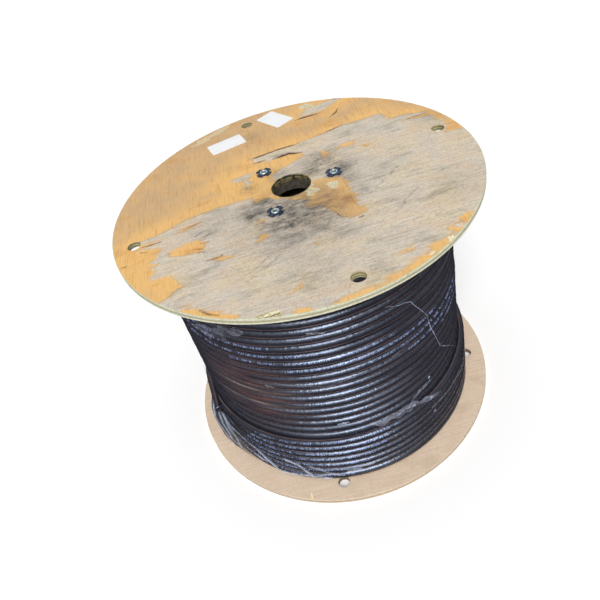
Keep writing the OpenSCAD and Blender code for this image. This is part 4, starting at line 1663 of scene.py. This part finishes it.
@dataclass
class DrumInside:
    """Barrel and drum heads, which show only through the arbor holes."""

    def dress(self) -> None:
        """Gives the CAD nodes their finishes."""
        board, tube = SHADED_HEAD_BOARD.material(), FIBRE_TUBE.material()
        for name, material in (("upper_drum_head", board), ("lower_drum_head", board), ("barrel", tube)):
            data = frame["nodes"][name].data
            data.materials.clear()
            data.materials.append(material)
            LOG.info("%s dressed", name)


@dataclass(frozen=True)
class Sun:
    """A far, soft light: its direction and spread in degrees, its strength in watts a square metre."""

    name: str
    azimuth: float
    elevation: float
    strength: float
    spread: float

    def build(self) -> bpy.types.Object:
        """Hangs the light."""
        data = bpy.data.lights.new(self.name, "SUN")
        data.energy = self.strength
        data.angle = math.radians(self.spread)
        lamp = bpy.data.objects.new(self.name, data)
        turn, rise = math.radians(self.azimuth), math.radians(self.elevation)
        towards = Vector((math.cos(turn) * math.cos(rise), math.sin(turn) * math.cos(rise), math.sin(rise)))
        lamp.rotation_mode = "QUATERNION"
        lamp.rotation_quaternion = towards.to_track_quat("Z", "Y")
        bpy.context.scene.collection.objects.link(lamp)
        return lamp


# The key light lies on everything, and the other two show only as shine
KEY_LIGHT = Sun("key_light", azimuth=-98, elevation=48, strength=1.95, spread=26)
GLINT_LIGHT = Sun("glint_light", azimuth=-97, elevation=46, strength=3.6, spread=32)
SHEEN_LIGHT = Sun("sheen_light", azimuth=-98, elevation=34, strength=1.3, spread=80)


@dataclass
class Studio:
    """Pale floor, soft light and the camera at the photograph's place."""

    lens: float = 34.75
    sensor: float = 36.0
    near: float = 0.01
    eye: Triple = (-0.02280, -0.48417, 0.57011)
    right: Triple = (0.95890, -0.18895, -0.21167)
    up: Triple = (0.28374, 0.63856, 0.71535)
    floor_half: float = 30
    floor_seen: str = "#FFFFFF"
    floor_mirrored: str = "#4C4549"
    floor_lift: float = 0.08
    sky_light: float = 0.55
    sky_mirrored: float = 0.34
    shine: Triple = (0.82, 0.9, 1.0)

    def camera(self) -> None:
        """Makes the camera."""
        data = bpy.data.cameras.new("photo_camera")
        data.sensor_width = self.sensor
        data.lens = self.lens
        data.clip_start = self.near
        camera = bpy.data.objects.new("photo_camera", data)
        right, up = Vector(self.right).normalized(), Vector(self.up).normalized()
        turned = Matrix((right, up, right.cross(up))).transposed().to_4x4()
        camera.matrix_world = Matrix.Translation(self.eye) @ turned
        bpy.context.scene.collection.objects.link(camera)
        bpy.context.scene.camera = camera

    def floor(self) -> None:
        """Lays the pale floor."""
        material, tree = new_material("pale_studio_floor")
        mirrored = add_node(tree, "ShaderNodeLightPath", out="Is Glossy Ray")
        colour = blend(tree, mirrored, self.floor_seen, self.floor_mirrored)
        seen = add_node(tree, "ShaderNodeLightPath", out="Is Camera Ray")
        lift = maths(tree, "MULTIPLY", seen, self.floor_lift)
        close_material(
            tree,
            {
                "Base Color": colour,
                "Roughness": 1.0,
                "Specular IOR Level": 0.0,
                "Emission Color": (1, 1, 1, 1),
                "Emission Strength": lift,
            },
        )
        bm = bmesh.new()
        bmesh.ops.create_grid(bm, x_segments=1, y_segments=1, size=self.floor_half)
        mesh_object("studio_floor", bm, [material])

    def sky(self) -> None:
        """Gives an even light from all round, and white where the camera sees it."""
        world = bpy.data.worlds.new("even_sky")
        bpy.context.scene.world = world
        world.use_nodes = True
        tree = world.node_tree
        tree.nodes.clear()
        seen = add_node(tree, "ShaderNodeLightPath", out="Is Camera Ray")
        mirrored = add_node(tree, "ShaderNodeLightPath", out="Is Glossy Ray")
        dimmed = ramp(tree, mirrored, (0.0, 1.0), (self.sky_light, self.sky_mirrored))
        strength = add_node(tree, "ShaderNodeMix", {0: seen, 2: dimmed, 3: 1.0})
        sky = add_node(tree, "ShaderNodeBackground", {"Color": (1, 1, 1, 1), "Strength": strength})
        add_node(tree, "ShaderNodeOutputWorld", {"Surface": sky})

    def build(self) -> None:
        """Sets up the whole studio."""
        bpy.context.scene.view_settings.view_transform = "Standard"
        self.camera()
        self.floor()
        self.sky()
        KEY_LIGHT.build().visible_glossy = False
        for light in (GLINT_LIGHT.build(), SHEEN_LIGHT.build()):
            light.visible_diffuse = False
            light.data.color = self.shine


def main() -> None:
    """Builds every piece of the reel, then the studio."""
    logging.basicConfig(level=logging.INFO, format="%(asctime)s %(name)s: %(message)s")
    raw_face = PlainPlywood().material()
    UpperFlange().build(raw_face)
    LowerFlange().build(raw_face)
    winding = Winding()
    FilmWrap().build(winding, winding.build())
    Labels().build()
    Hardware().build()
    DrumInside().dress()
    Studio().build()


if __name__ == "__main__":
    main()
